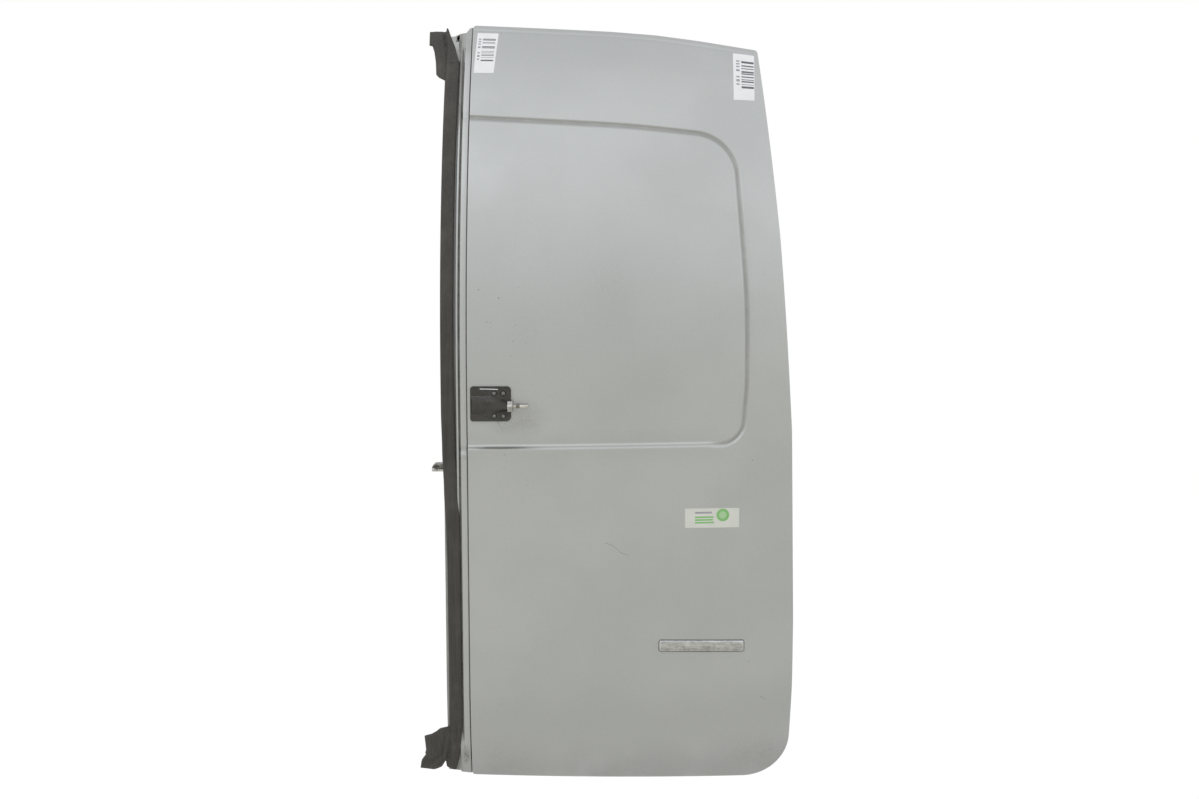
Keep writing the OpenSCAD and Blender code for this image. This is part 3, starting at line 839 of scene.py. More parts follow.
# Inside the bead: a grid drawn between its four sides
nAlong, nUp = len(skin["along"]), len(skin["upward"])
inner = [p for p, _ in rings[0]]
bottomRun, rightRun = inner[:nAlong], inner[nAlong - 1:nAlong + nUp - 1]
topRun = inner[nAlong + nUp - 2:][::-1]
grid = []
for j, v in enumerate(skin["upward"]):
    leftPoint = bottomRun[0].lerp(topRun[0], v)
    row = []
    for i, u in enumerate(skin["along"]):
        edges = bottomRun[i] * (1 - v) + topRun[i] * v + leftPoint * (1 - u) + rightRun[j] * u
        cornersPart = (bottomRun[0] * (1 - u) * (1 - v) + bottomRun[-1] * u * (1 - v)
                       + topRun[0] * (1 - u) * v + topRun[-1] * u * v)
        row.append((edges - cornersPart, 0))
    grid.append(addRow(row))
for a, b in zip(grid, grid[1:]):
    faces += [(a[i], a[i + 1], b[i + 1], b[i]) for i in range(len(a) - 1)]

skinMesh = bpy.data.meshes.new("outerSkin")
skinMesh.from_pydata(verts, [], faces)
outerSkin = bpy.data.objects.new("outerSkin", skinMesh)
bpy.context.scene.collection.objects.link(outerSkin)
cleanFaces(outerSkin, 0.02)

# The folded rim: rings of points outside the open edge
bm = bmesh.new()
bm.from_mesh(skinMesh)
edge = [e for e in bm.edges if e.is_boundary]
loop = [edge[0].verts[0], edge[0].verts[1]]
used = {edge[0]}
while True:
    step = [e for e in loop[-1].link_edges if e.is_boundary and e not in used]
    if not step:
        break
    used.add(step[0])
    nextVert = step[0].other_vert(loop[-1])
    if nextVert is loop[0]:
        break
    loop.append(nextVert)
area = sum(a.co.x * b.co.z - b.co.x * a.co.z for a, b in zip(loop, loop[1:] + loop[:1]))
if area < 0:
    loop.reverse()
outward = []
for i, v in enumerate(loop):
    run = loop[(i + 1) % len(loop)].co - loop[i - 1].co
    outward.append(Vector((run.z, 0, -run.x)).normalized())
last = loop
for reach, deep in skin["rim"]:
    ring = [bm.verts.new(v.co + n * reach + Vector((0, deep, 0))) for v, n in zip(loop, outward)]
    for i in range(len(loop)):
        j = (i + 1) % len(loop)
        bm.faces.new((last[i], last[j], ring[j], ring[i]))
    last = ring
bm.to_mesh(skinMesh)
bm.free()
cleanFaces(outerSkin, 0.001)
layOnDoor(outerSkin)
if skinMesh.polygons[0].normal.y > 0:
    skinMesh.flip_normals()
useModifier(outerSkin, "SOLIDIFY", thickness=skin["thickness"] / 1000, offset=-1.0)
smoothBy(outerSkin, 50)

# Dirt and painted shade in the groove, kept on the mesh for the paint to read
steps = skin["grooveSteps"]
grooveRun = sampleRun(beadLine(0), [k / steps for k in range(steps + 1)])
nearest = KDTree(len(grooveRun))
for k, p in enumerate(grooveRun):
    nearest.insert((p.x, p.y, 0), k)
nearest.balance()
plain, onLedge, reach = skin["grooveDirtAndShade"]
lockMore, lockMiddle, lockReach, lockWidth = skin["lockDarkening"]
grimeAndShade = skinMesh.attributes.new("grimeAndShade", "FLOAT", "POINT")
for k, v in enumerate(skinMesh.vertices):
    flatCo = (v.co - doorZero) * 1000
    away = nearest.find((flatCo.x, flatCo.z, 0))[2]
    low = lowBead(Vector((flatCo.x, flatCo.z)))
    # the groove is darker under the lock
    underLock = lockMore * hump((flatCo.x - lockMiddle) / lockReach) * hump(away / lockWidth)
    grimeAndShade.data[k].value = ((1 - low) * plain + low * onLedge) * hump(away / reach) + low * underLock
finish(outerSkin, paint, "paint", "outer_skin")
print("outer skin done", len(skinMesh.vertices))

# Meeting edge: the painted flange, from the edge of the skin to under the seal
flange = {
    # x, depth, and where the point belongs: groove a beside the seal, b beside the strip, c at the skin,
    # lip l between a and b, or s under the seal
    "section": [(1.4, 5.6, "c"), (-0.1, 5.6, "c"), (-0.8, 4.6, "c"), (-1.3, 2.6, "c"), (-2.0, 1.9, ""),
                (-3.4, 1.6, ""), (-6.5, 1.5, ""), (-9.6, 1.5, ""), (-10.8, 1.8, ""), (-11.5, 2.6, "b"),
                (-11.9, 4.2, "b"), (-12.4, 6.6, "b"), (-13.7, 6.6, "b"), (-14.1, 4.2, "b"),
                (-14.5, 2.6, "b"), (-15.2, 1.9, "l"), (-16.4, 1.7, "l"), (-17.6, 2.0, "a"),
                (-18.4, 3.2, "a"), (-18.9, 6.4, "a"), (-20.6, 7.2, "a"), (-22.6, 7.2, "s"),
                (-31, 7.2, "s"), (-39, 7.2, "s")],
    "thickness": 0.9,
    "flatDepth": 1.6,              # of the strip, and of all of it at the top, above where the grooves start
    "underDepth": 4.4,             # of what the seal and its ends cover
    "flush": (560, 34, 0.9),       # where the top begins to come forward, over what height, and how far
    "leastDepth": 0.5,
    "grooveTop": {"a": (600, 580), "b": (577, 558), "c": (612, 590), "s": (572, 556)},
    # dirt and painted shade down each groove and on the lip between them, and painted shade on the strip at
    # the top in the first entry: height and strength, from the top
    "grimeAndShade": {"": [(575, 0.27), (545, 0.0)],
              "a": [(600, 0.6), (440, 0.55), (400, 0.15)],
              "s": [(575, 0.2), (560, 0.5)],
              "b": [(577, 0.4), (545, 0.8), (-545, 0.8), (-575, 0.05)],
              "c": [(612, 0.6), (560, 0.75), (0, 0.75), (-120, 0.45), (-420, 0.5), (-560, 0.95)],
              "l": [(575, 0.5), (560, 0.95), (452, 0.85), (430, 0.0), (-100, 0.0), (-200, 0.35), (-420, 0.35),
                    (-560, 0.3)]},
    "footOfB": (-552, -576),       # where the groove beside the strip runs out
    "topLine": [(0, 608), (-6, 604.5), (-12, 598), (-24, 596), (-31, 592), (-39, 592)],
    "topFit": (560, 36),           # where the rows begin to stretch to the top line, and over what height
    "bottomFit": (-600, 22, 0.12, -30),    # the same at the bottom, its slant, and the place it turns about
    "wedge": (556, 16, 1.9),       # where the groove beside the strip is widest, its reach, and how wide
    "wedgeSides": (-13.2, -0.4),   # its middle, and how its far side goes with the near one
    "z": (-622, 596),
    "rows": 400,
    "dents": [(453, 6.5, 1.7), (-82, 4.2, 1.3), (-90, 4.0, -1.1)],     # in the strip: height, reach and depth
    "dented": (-13, 0),            # the places that they reach
}


def flangePoint(x):
    return min(flange["section"], key=lambda p: abs(p[0] - x))


def flangeShape(co):
    groove = flangePoint(co.x)[2]
    z = co.z
    if groove in flange["grooveTop"]:
        top, low = flange["grooveTop"][groove]
        level = flange["underDepth" if groove == "s" else "flatDepth"]
        co.y = level + (co.y - level) * ease((top - z) / (top - low))
        if groove == "b":
            high, foot = flange["footOfB"]
            co.y = level + (co.y - level) * ease((z - foot) / (high - foot))
            widest, reach, wider = flange["wedge"]
            middle, farSide = flange["wedgeSides"]
            co.x += wider * hump((z - widest) / reach) * (1 if co.x > middle else farSide)
    if flange["dented"][0] < co.x < flange["dented"][1]:
        for middle, reach, deep in flange["dents"]:
            co.y += deep * hump((z - middle) / reach)
    begins, over, forward = flange["flush"]
    co.y = max(co.y - ease((z - begins) / over) * forward, flange["leastDepth"])
    begins, over = flange["topFit"]
    top = max(0, (z - begins) / over)
    begins, over, slant, turn = flange["bottomFit"]
    bottom = max(0, (begins - z) / over)
    co.z += top * (between(flange["topLine"], co.x) - flange["z"][1]) - bottom * slant * (co.x - turn)
    return co


front = [(x, d) for x, d, _ in flange["section"]]
section = front + [(x, d + flange["thickness"]) for x, d in reversed(front)]
meetingFlange = longStrip("meetingFlange", section, *flange["z"], flange["rows"], flangeShape)
# dirt and painted shade along the meeting edge, for the paint to read
grimeAndShade = meetingFlange.data.attributes.new("grimeAndShade", "FLOAT", "POINT")
for k, v in enumerate(meetingFlange.data.vertices):
    grimeAndShade.data[k].value = between(flange["grimeAndShade"][flangePoint(v.co.x)[2]], v.co.z)
fitted(meetingFlange, paint, "paint", "meeting_flange", degrees=55)

# The rubber seal, which steps towards the skin below the lock
seal = {
    # its edges, from the top: height and place
    "right": [(534, -20), (366, -21.6), (78, -21.6), (-83, -20), (-148, -17.6), (-190, -14), (-330, -13.6),
              (-450, -13.4), (-551, -14.2)],
    "left": [(499, -43), (-17, -42.6), (-82, -41.4), (-147, -39.2), (-213, -36.5), (-278, -35.2),
             (-479, -34.9), (-531, -35.8)],
    # share of the width from the right edge, and depth
    "section": [(0.0, 6.8), (0.0, 3.4), (0.03, 1.9), (0.08, 0.8), (0.16, 0.1), (0.28, -0.35), (0.36, -0.3),
                (0.42, 0.15), (0.5, 0.25), (0.6, -0.1), (0.72, -0.3), (0.82, 0.0), (0.9, 0.8), (0.96, 2.0),
                (1.0, 4.0), (1.0, 8.5), (0.96, 10.6), (0.88, 11.4), (0.76, 11.4), (0.76, 8.2), (0.84, 8.2),
                (0.84, 6.9)],
    "front": 15,                   # how many of the section's points are on its front
    "z": (-551.5, 547.5),
    "rows": 110,
}


def sealShape(co):
    right, leftEdge = between(seal["right"], co.z), between(seal["left"], co.z)
    co.x = right + (leftEdge - right) * co.x
    return co


def sealFront(x, z):
    # how deep the seal's front lies at this place
    right, leftEdge = between(seal["right"], z), between(seal["left"], z)
    share = (right - x) / (right - leftEdge)
    front = [(-s, d) for s, d in seal["section"][:seal["front"]]]
    return between(front, -share)


meetingSeal = longStrip("meetingSeal", seal["section"], *seal["z"], seal["rows"], sealShape)
fitted(meetingSeal, rubber, "seal_rubber", "meeting_seal", degrees=50)
print("meeting edge done")

# Moulded rubber ends of the seal: leaves with rolled edges, which lap over the seal and carry on its ridge
mouldings = {
    # ridges and valleys are lines on the sheet, each with its reach and its height; tilt is the place from
    # which the leaf leans back, and how steeply; joint is the height where it meets the seal, and its reach
    "sealTopMoulding": {
        "node": "seal_top_moulding",
        "corners": [(-73.4, 601.8, 1), (-72.6, 577.2, 1), (-67, 575.5, 0.6), (-63, 564, 8),
                    (-59.6, 546, 20), (-57.8, 524.5, 3), (-53, 519.5, 2), (-41.4, 513.5, 1),
                    (-41.4, 545.2, 0), (-20.4, 545.2, 1), (-25.2, 560, 20), (-28.2, 572, 20),
                    (-37, 593, 20), (-42, 606.3, 0.6), (-44, 607.2, 0.5), (-44.8, 601, 0.6)],
        "ridges": [([(-31, 540), (-33, 562), (-39, 584), (-43.5, 606)], 3.4, 3.0),
                   ([(-48, 515), (-51, 545), (-58, 575), (-62, 602)], 2.8, 2.4)],
        "valleys": [([(-40, 535), (-42, 560), (-49, 602)], 2.2, 3.4)],
        "tilt": (-54, 0.32),
        "joint": (546, 40),
    },
    "sealBottomMoulding": {
        "node": "seal_bottom_moulding",
        "corners": [(-87.8, -621.3, 1), (-63, -621.8, 12), (-50.5, -615, 10), (-43.8, -603.5, 0.4),
                    (-42.3, -614, 1), (-39, -617, 1), (-27, -620.3, 0.6), (-22.5, -604.5, 20),
                    (-18, -580, 60), (-14.6, -549, 1), (-34.4, -549, 0), (-34.4, -541.3, 1),
                    (-51.2, -545.4, 5), (-58, -551.5, 5), (-66, -557, 10), (-78.3, -561.5, 0.6),
                    (-76.5, -586, 2), (-78.4, -591.5, 1), (-77.1, -595, 1), (-85, -606, 12)],
        "ridges": [([(-25, -550), (-26.5, -585), (-31, -618)], 4.0, 2.2),
                   ([(-36, -546), (-38.5, -568), (-44, -597), (-55, -611), (-75, -617)], 1.9, 3.0),
                   ([(-76, -563), (-74, -590), (-84, -610)], 2.5, 1.2)],
        "valleys": [([(-41, -548), (-44, -570), (-50, -594), (-66, -606)], 2.4, 2.6),
                    ([(-35, -552), (-37, -580), (-41.5, -604)], 2.4, 2.2)],
        "tilt": (-50, 0.24),
        "joint": (-550, 40),
    },
    "front": 2.2,
    "back": 6.6,
    "proud": -0.9,                 # the least depth of any point
    "overSeal": 0.45,
    "lap": (-46, 6),               # the lap's left end, and over how much it starts
    "edgeRoll": (2.4, 1.6),        # reach and depth
    "step": 2.2,
}
for name in ("sealTopMoulding", "sealBottomMoulding"):
    form = mouldings[name]
    outline = roundedLine(form["corners"], 10)
    leaf = flatPlate(name, outline, 0, mouldings["back"])
    sliceSheet(leaf, mouldings["step"])
    foldX, tilt = form["tilt"]
    jointZ, jointReach = form["joint"]
    lapEnd, lapReach = mouldings["lap"]
    rollReach, rollDepth = mouldings["edgeRoll"]
    folds = []
    for way, lines in ((-1, form["ridges"]), (1, form["valleys"])):
        folds += [([Vector(p) for p in line], wide, way * high) for line, wide, high in lines]
    for v in leaf.data.vertices:
        x, d, z = v.co
        back = max(0, foldX - x) * tilt
        if d < mouldings["back"] / 2:
            edgeAway = lineDistance(outline, x, z, closed=True)
            onSeal = (1 - ease(abs(z - jointZ) / jointReach)) * ease((x - lapEnd) / lapReach)
            level = mouldings["front"] * (1 - onSeal) + (sealFront(x, z) - mouldings["overSeal"]) * onSeal
            v.co.y = level + rollDepth * max(0, 1 - edgeAway / rollReach) ** 2 * (1 - onSeal)
            for line, wide, high in folds:
                v.co.y += high * hump(lineDistance(line, x, z) / wide) * (1 - onSeal)
        v.co.y = max(v.co.y + back, mouldings["proud"])
    fitted(leaf, rubber, "seal_rubber", form["node"], degrees=60)
print("mouldings done")

# Lock: a plate with a rim and four holes, a low housing with a rivet, cross-head screws down in the holes, a
# hexagon nut, and a turned pin with a dark collar
lock = {
    "plate": [(5, -34.9, 4.5), (70, -34.9, 8), (70, 21.1, 6.5), (5, 21.1, 5)],
    "plateDepth": (-3.0, 0.0),
    "rim": (1.8, 0.55),            # width, and how far it stands above the middle
    "holes": (-9, -0.5),           # depths that the cut for a hole reaches
    "housing": [(7, -24.6, 2), (38, -24.6, 3), (64.9, -17.6, 2), (64.9, -1.6, 2), (38, 5.4, 3), (7, 5.4, 2)],
    "housingDepth": (-19.0, -2.5),
    "housingStep": 5,
    # the front keeps a share of its height about a middle, and a share of its width left of a place
    "housingHigh": (-9.6, 0.45),
    "housingWide": (60, 0.97),
    "housingSlope": [(64.9, -18.0), (50, -9.0), (30, -6.5), (7, -5.5)],    # place and depth of the front
    "rivet": (23.5, -12.6, 2.8, 0.55, 0.15),   # place, radius, height, and how deep it sits
    # place, turn and the radius of the hole around it
    "screws": [(43.2, 9.8, 20, 5.3), (57.8, 9.8, 65, 5.5), (43.2, -26.4, 40, 4.4), (57.8, -26.4, 5, 4.4)],
    "screwRadius": 3.3,
    # height, and share of the radius
    "screwHead": [(0, 1), (0.9, 1), (1.6, 0.93), (2.1, 0.72), (2.35, 0.4)],
    "screwSeat": -1.0,
    "recess": (4.4, 1.1, 1.5),     # length, width and depth of one arm of the cross
    "axis": (-12, -9.6),
    "nut": [(65.0, 8.6), (65.6, 9.75), (73.2, 9.75), (73.9, 8.4)],
    "pin": [(73.5, 2.2), (78.8, 2.2), (79.2, 1.7), (84.4, 1.7), (84.8, 2.7), (96.6, 2.7), (97.4, 2.3),
            (97.9, 1.5)],
    "collar": [(79.2, 2.4), (79.6, 3.0), (80.2, 3.15), (82.9, 3.15), (83.6, 2.9), (84.0, 2.3)],
    "paleLine": [(20.6, 17.7), (20.6, 16.5), (49.4, 15.8), (49.4, 17.0)],
    "paleLineDepth": (-0.12, 0.2),    # from the plate's middle
}
lockPlate = flatPlate("lockPlate", roundedLine(lock["plate"], 9), *lock["plateDepth"])
selectFront(lockPlate, lock["plateDepth"][0])
bpy.ops.mesh.inset(thickness=lock["rim"][0], depth=0)
bpy.ops.transform.translate(value=(0, lock["rim"][1], 0))
bevelEdges(lockPlate, 0.35, 2, 40)
for x, z, _, holeRadius in lock["screws"]:
    cutAway(lockPlate, flatPlate("hole", circleLine(x, z, holeRadius, 32), *lock["holes"]))
fitted(lockPlate, black, "lock_black", "lock_plate", degrees=40)

frontDepth = lock["housingDepth"][0]
lockHousing = flatPlate("lockHousing", roundedLine(lock["housing"], 15), *lock["housingDepth"])
sliceSheet(lockHousing, lock["housingStep"])
middleZ, keepHigh = lock["housingHigh"]
keepFrom, keepWide = lock["housingWide"]
for v in lockHousing.data.vertices:
    if abs(v.co.y - frontDepth) < 0.01:
        v.co.z = middleZ + (v.co.z - middleZ) * keepHigh
        if v.co.x < keepFrom:
            v.co.x = keepFrom + (v.co.x - keepFrom) * keepWide
        v.co.y = between(lock["housingSlope"], v.co.x)
bevelEdges(lockHousing, 1.1, 3, 25)
x, z, radius, high, sunk = lock["rivet"]
rivet = turnedPart("lockRivet", [(0, radius), (high * 0.7, radius * 0.92), (high, radius * 0.6)], 24, 0, 0)
for v in rivet.data.vertices:
    along, d, across = v.co
    v.co = (x + d, between(lock["housingSlope"], x) + sunk - along, z + across)
cleanFaces(rivet)
lockHousing = joinAll([lockHousing, rivet], "lockHousing")
fitted(lockHousing, black, "lock_black", "lock_housing", degrees=35)

# One screw, with its cross cut by two bars, then its copies
headHeight = lock["screwHead"][-1][0]
screw = turnedPart("screw", [(a, lock["screwRadius"] * share) for a, share in lock["screwHead"]], 28, 0, 0)
for v in screw.data.vertices:
    along, d, across = v.co
    v.co = (d, -along, across)
cleanFaces(screw)
length, width, deep = lock["recess"]
for wide, high in ((length, width), (width, length)):
    arm = boxLine(-wide / 2, -high / 2, wide / 2, high / 2)
    cutAway(screw, flatPlate("recessBar", arm, -4, deep - headHeight))
screws = []
for x, z, turn, _ in lock["screws"]:
    copy = screw.copy()
    copy.data = screw.data.copy()
    bpy.context.scene.collection.objects.link(copy)
    c, s = math.cos(math.radians(turn)), math.sin(math.radians(turn))
    for v in copy.data.vertices:
        px, pd, pz = v.co
        v.co = (x + c * px - s * pz, lock["screwSeat"] + pd, z + s * px + c * pz)
    screws.append(copy)
bpy.data.objects.remove(screw)
lockScrews = joinAll(screws, "lockScrews")
cleanFaces(lockScrews, 0.001)
fitted(lockScrews, screwSteel, "lock_black", "lock_screws", degrees=40)

lockNut = turnedPart("lockNut", lock["nut"], 6, *lock["axis"])
bevelEdges(lockNut, 0.5, 3, 25)
fitted(lockNut, nutSteel, "bare_steel", "lock_nut", degrees=30, bent=False)
lockPin = turnedPart("lockPin", lock["pin"], 32, *lock["axis"])
fitted(lockPin, brass, "brass", "lock_pin", degrees=40, bent=False)
lockCollar = turnedPart("lockCollar", lock["collar"], 32, *lock["axis"])
fitted(lockCollar, zinc, "brass", degrees=40, bent=False)
plateMiddle = lock["plateDepth"][0] + lock["rim"][1]
# a pale strip along the top of the plate, in the label paper's colour
lockPaleLine = flatPlate("lockPaleLine", lock["paleLine"], *[plateMiddle + d for d in lock["paleLineDepth"]])
bevelEdges(lockPaleLine, 0.04, 1)
fitted(lockPaleLine, paper, "lock_black")
print("lock done")

# Striker: a folded bracket over a bright roller, behind the meeting edge
striker = {
    "bracket": [(-59.8, -113, 0.6), (-11, -113, 0.4), (-11, -106.6, 0.4), (-57, -106.6, 4.0)],
    "bracketDepth": (14, 38),
    "room": (-70, -120, 0, -108),      # cut out of the bracket, from and to
    "roomDepth": (16, 36),
    "roller": [(-60.9, 1.9), (-60.6, 2.6), (-60.0, 3.0), (-58.8, 3.2), (-52, 3.2), (-51.5, 2.9),
               (-50.5, 2.9), (-50, 3.2), (-11, 3.2)],
    "axis": (26, -117.2),
}
bracket = flatPlate("strikerBracket", roundedLine(striker["bracket"], 15), *striker["bracketDepth"])
cutAway(bracket, flatPlate("room", boxLine(*striker["room"]), *striker["roomDepth"]))
cleanFaces(bracket)
bevelEdges(bracket, 0.4, 2)
fitted(bracket, bracketSteel, "zinc", "striker_bracket", degrees=35, bent=False)
roller = turnedPart("strikerRoller", striker["roller"], 32, *striker["axis"])
fitted(roller, steel, "bare_steel", "striker_roller", degrees=35, bent=False)
print("striker done")

# Labels with plain printed bars, and a sticker with plain shapes
labels = {
    "upperLeft": {
        "quad": [(8, 598), (43, 597), (37, 527), (4, 527)],
        # from and to, as shares of the sheet's width
        "bars": (0.285, 0.90),
        "dashes": (0.09, 0.21),
        # how far down the sheet, and how thick, both as shares of its height
        "rows": [(.150, .016), (.176, .020), (.236, .011), (.258, .009), (.345, .022), (.375, .020),
                 (.46, .010), (.49, .007), (.53, .012), (.565, .016), (.618, .008), (.69, .034)],
    },
    "upperRight": {
        "quad": [(435, 567), (471, 563), (468, 484), (433, 485)],
        "bars": (0.385, 0.974),
        "dashes": (0.14, 0.30),
        "rows": [(.174, .045), (.256, .028), (.316, .018), (.388, .036), (.432, .026), (.498, .026),
                 (.558, .018), (.602, .030), (.663, .012), (.723, .045)],
    },
    "thickness": 0.12,
    "ink": 0.05,
    "step": 8,
    "dashRows": [(.16, .03), (.22, .03), (.28, .03), (.36, .045), (.50, .03), (.58, .05), (.66, .03)],
}


def sheetPlace(quad, u, v):
    a, b, c, d = [Vector(p) for p in quad]
    return a.lerp(b, u).lerp(d.lerp(c, u), v)


def printedBars(name, quad, rows, span, mat):
    bars = []
    top = -labels["thickness"] - labels["ink"]
    for v, thick in rows:
        corners = [sheetPlace(quad, u, v + s * thick / 2) for u, s in
                   ((span[0], -1), (span[1], -1), (span[1], 1), (span[0], 1))]
        bars.append(sliceSheet(flatPlate("bar", corners, top, 0.01 - labels["thickness"]), labels["step"]))
    return fitted(joinAll(bars, name), mat, "paint")


for name in ("upperLeft", "upperRight"):
    label = labels[name]
    title = name[0].upper() + name[1:]
    rounded = roundedLine([(x, z, 1.0) for x, z in label["quad"][::-1]], 20)
    sheet = flatPlate("label" + title, rounded, -labels["thickness"], -0.01)
    sliceSheet(sheet, labels["step"])
    fitted(sheet, paper, "paint")
    printedBars("labelBars" + title, label["quad"], label["rows"], label["bars"], ink)
    printedBars("labelDashes" + title, label["quad"], labels["dashRows"], label["dashes"], inkGrey)

sticker = {
    "corners": [(350, -212, 1.5), (439, -213, 1.5), (439, -181, 1.5), (350, -180, 1.5)],
    "thickness": 0.12,
    "disc": (412, -192, 10.5),
    "dot": (412, -192, 6.2),
    "proud": (0.05, 0.09),         # of the shapes, and of the dot on the disc
    # from, to and half the height
    "stripes": [((366, -204), (398, -204), 1.3), ((366, -199.5), (396, -199.5), 1.3),
                ((366, -195), (397, -195), 1.3)],
    "caption": ((366, -187.5), (394, -187.5), 1.5),
}
stickerSheet = flatPlate("sticker", roundedLine(sticker["corners"], 15), -sticker["thickness"], -0.01)
sliceSheet(stickerSheet, 10)
fitted(stickerSheet, stickerFilm, "paint")


def stickerShape(name, shapes, mat, proud=sticker["proud"][0]):
    depth = -sticker["thickness"]
    flats = [flatPlate("mark", line, depth - proud, depth + 0.01) for line in shapes]
    return fitted(joinAll(flats, name), mat, "paint")


def barLine(a, b, half):
    radius = half * 0.9
    return roundedLine([(x, z, radius) for x, z in boxLine(a[0], a[1] - half, b[0], b[1] + half)], 20)


stickerShape("stickerDisc", [circleLine(*sticker["disc"])], stickerGreen)
stickerShape("stickerDot", [circleLine(*sticker["dot"])], stickerPale, sticker["proud"][1])
stickerShape("stickerStripes", [barLine(a, b, w) for a, b, w in sticker["stripes"]], stickerGreen)
stickerShape("stickerCaption", [barLine(*sticker["caption"])], inkGrey)
print("labels done")

# Bright bar, with a long bevelled face
brightBar = {
    "corners": [(308.6, -416.4, 3.4), (449.4, -421.4, 3.4), (449.4, -402.6, 3.4), (308.6, -397.6, 3.4)],
    "depth": (-3.9, -0.02),
    "bevel": 2.4,
    "edgeDepth": -1.6,
    "gasket": (0.75, -0.5),        # how far it shows around the bar, and its depth
    "step": 12,
}
barOutline = roundedLine(brightBar["corners"], 12)
trimBar = flatPlate("trimBar", barOutline, *brightBar["depth"])
selectFront(trimBar, brightBar["depth"][0])
bpy.ops.mesh.inset(thickness=brightBar["bevel"], depth=0)
bpy.ops.object.mode_set(mode="OBJECT")
for v in trimBar.data.vertices:
    # the outer edge of the front goes back, and the face inside the inset stays
    if v.co.y < -1 and lineDistance(barOutline, v.co.x, v.co.z, closed=True) < 0.5:
        v.co.y = brightBar["edgeDepth"]
bevelEdges(trimBar, 0.3, 2, 20)
fitted(trimBar, chrome, "chrome", "trim_bar", degrees=30)
around, gasketDepth = brightBar["gasket"]
gasketOutline = roundedLine(insetCorners(brightBar["corners"], -around), 12)
barGasket = flatPlate("barGasket", gasketOutline, gasketDepth, brightBar["depth"][1])
sliceSheet(barGasket, brightBar["step"])
fitted(barGasket, rubber, "seal_rubber")
print("bright bar done")

# Floor, sky and light
studio = {
    "floorDrop": 0.9,
    "floorReach": (-1.0, 7.0, 7.0),    # how far it comes forward, how far it goes back and to each side
    "floorColor": (0.62, 0.62, 0.61),
    "floorRoughness": 0.9,
    "floorGlow": 1.07,                 # where it shows as background
    "shadowShare": 0.14,
    # height in the sky, from straight down to straight up, with its colour
    "sky": [(0.0, (0.48, 0.475, 0.43)), (0.20, (0.53, 0.525, 0.475)), (0.36, (0.84, 0.84, 0.775)),
            (0.46, (0.80, 0.80, 0.745)), (0.52, (0.735, 0.74, 0.72)), (0.58, (0.75, 0.76, 0.765)),
            (0.68, (0.865, 0.885, 0.915)), (0.84, (1.18, 1.21, 1.255)), (0.92, (1.19, 1.215, 1.255)),
            (0.96, (0.86, 0.88, 0.915)), (1.0, (0.78, 0.80, 0.83))],
    # brighter and darker parts of the room in front: direction, reach and how much brighter
    "glows": [((0.60, -0.76, 0.28), 0.50, 0.60), ((-0.50, -0.70, 0.50), 0.80, 0.56),
              ((0.62, -0.72, -0.42), 0.45, -0.20)],
    "whiteBehind": (0.0, 0.3),         # how far back a mirrored ray points, from grey to white
}
floorZ = cadBox[0][2] - studio["floorDrop"]
forward, backward, sideways = studio["floorReach"]
deselectAll()
bpy.ops.mesh.primitive_plane_add(size=1)
floor = named("floor")
for v in floor.data.vertices:
    v.co = (v.co.x * 2 * sideways, doorZero.y + (forward if v.co.y < 0 else backward), floorZ)
floorMat = bpy.data.materials.new("paleFloor")
floorMat.use_nodes = True
tree = floorMat.node_tree
shader = tree.nodes["Principled BSDF"]
shader.inputs["Base Color"].default_value = (*studio["floorColor"], 1)
shader.inputs["Roughness"].default_value = studio["floorRoughness"]


def seenRays(tree):
    # 1 for the rays that show a background: to the camera, in a mirror or through glass
    rays = addNode(tree, "LightPath", {}).outputs
    either = sums(tree, "MAXIMUM", rays["Is Camera Ray"], rays["Is Glossy Ray"])
    return sums(tree, "MAXIMUM", either, rays["Is Transmission Ray"])


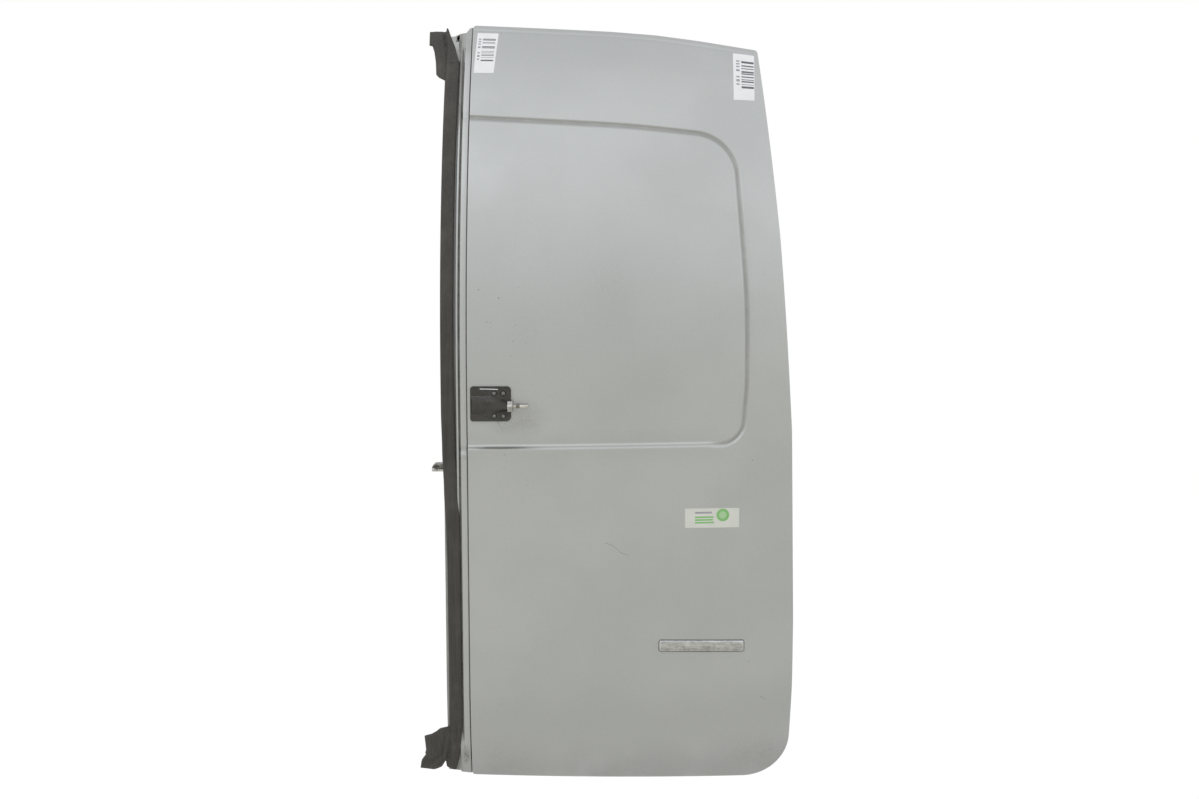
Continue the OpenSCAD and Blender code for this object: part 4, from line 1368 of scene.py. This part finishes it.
glow = addNode(tree, "Emission", {"Strength": studio["floorGlow"]})
pale = addNode(tree, "MixShader", {0: studio["shadowShare"], 1: glow.outputs[0], 2: shader.outputs[0]})
mix = addNode(tree, "MixShader", {0: seenRays(tree), 1: shader.outputs[0], 2: pale.outputs[0]})
plug(tree, tree.nodes["Material Output"], "Surface", mix.outputs[0])
floor.data.materials.append(floorMat)

world = bpy.data.worlds.new("studio")
bpy.context.scene.world = world
world.use_nodes = True
tree = world.node_tree
tree.nodes.clear()
out = tree.nodes.new("ShaderNodeOutputWorld")
way = addNode(tree, "TexCoord", {}).outputs["Generated"]
split = addNode(tree, "SeparateXYZ", {0: way}).outputs
lift = addNode(tree, "MapRange", {"Value": split["Z"], "From Min": -1.0}).outputs["Result"]
ramp = addNode(tree, "ValToRGB", {"Fac": lift})
while len(ramp.color_ramp.elements) < len(studio["sky"]):
    ramp.color_ramp.elements.new(0.5)
for element, (place, color) in zip(ramp.color_ramp.elements, studio["sky"]):
    element.position = place
    element.color = (*color, 1)
level = 1.0
for direction, reach, brighter in studio["glows"]:
    patch = placeGroup(tree, softPatch, {"Vector": way, "Centre": direction, "Reach": (reach, reach, reach)})
    level = sums(tree, "MULTIPLY_ADD", patch, brighter, level)
light = addNode(tree, "Background", {"Color": ramp.outputs["Color"], "Strength": level})
white = addNode(tree, "Background", {"Color": (1, 1, 1, 1)})
rays = addNode(tree, "LightPath", {}).outputs
mirrored = sums(tree, "MAXIMUM", rays["Is Glossy Ray"], rays["Is Transmission Ray"])
behind = ranged(tree, split["Y"], *studio["whiteBehind"])
shown = sums(tree, "MAXIMUM", rays["Is Camera Ray"], sums(tree, "MULTIPLY", mirrored, behind))
mix = addNode(tree, "MixShader", {0: shown, 1: light.outputs[0], 2: white.outputs[0]})
plug(tree, out, "Surface", mix.outputs[0])

# Camera
view = {"at": (0.211, -2.00993, 0.21125), "tilt": 84.0, "lens": 38.087, "sensor": 36}
cameraData = bpy.data.cameras.new("camera")
camera = bpy.data.objects.new("camera", cameraData)
bpy.context.scene.collection.objects.link(camera)
camera.location = doorZero + Vector(view["at"])
camera.rotation_euler = (math.radians(view["tilt"]), 0, 0)
cameraData.lens = view["lens"]
cameraData.sensor_width = view["sensor"]
bpy.context.scene.camera = camera
bpy.context.scene.view_settings.view_transform = "Standard"
print("stage done")
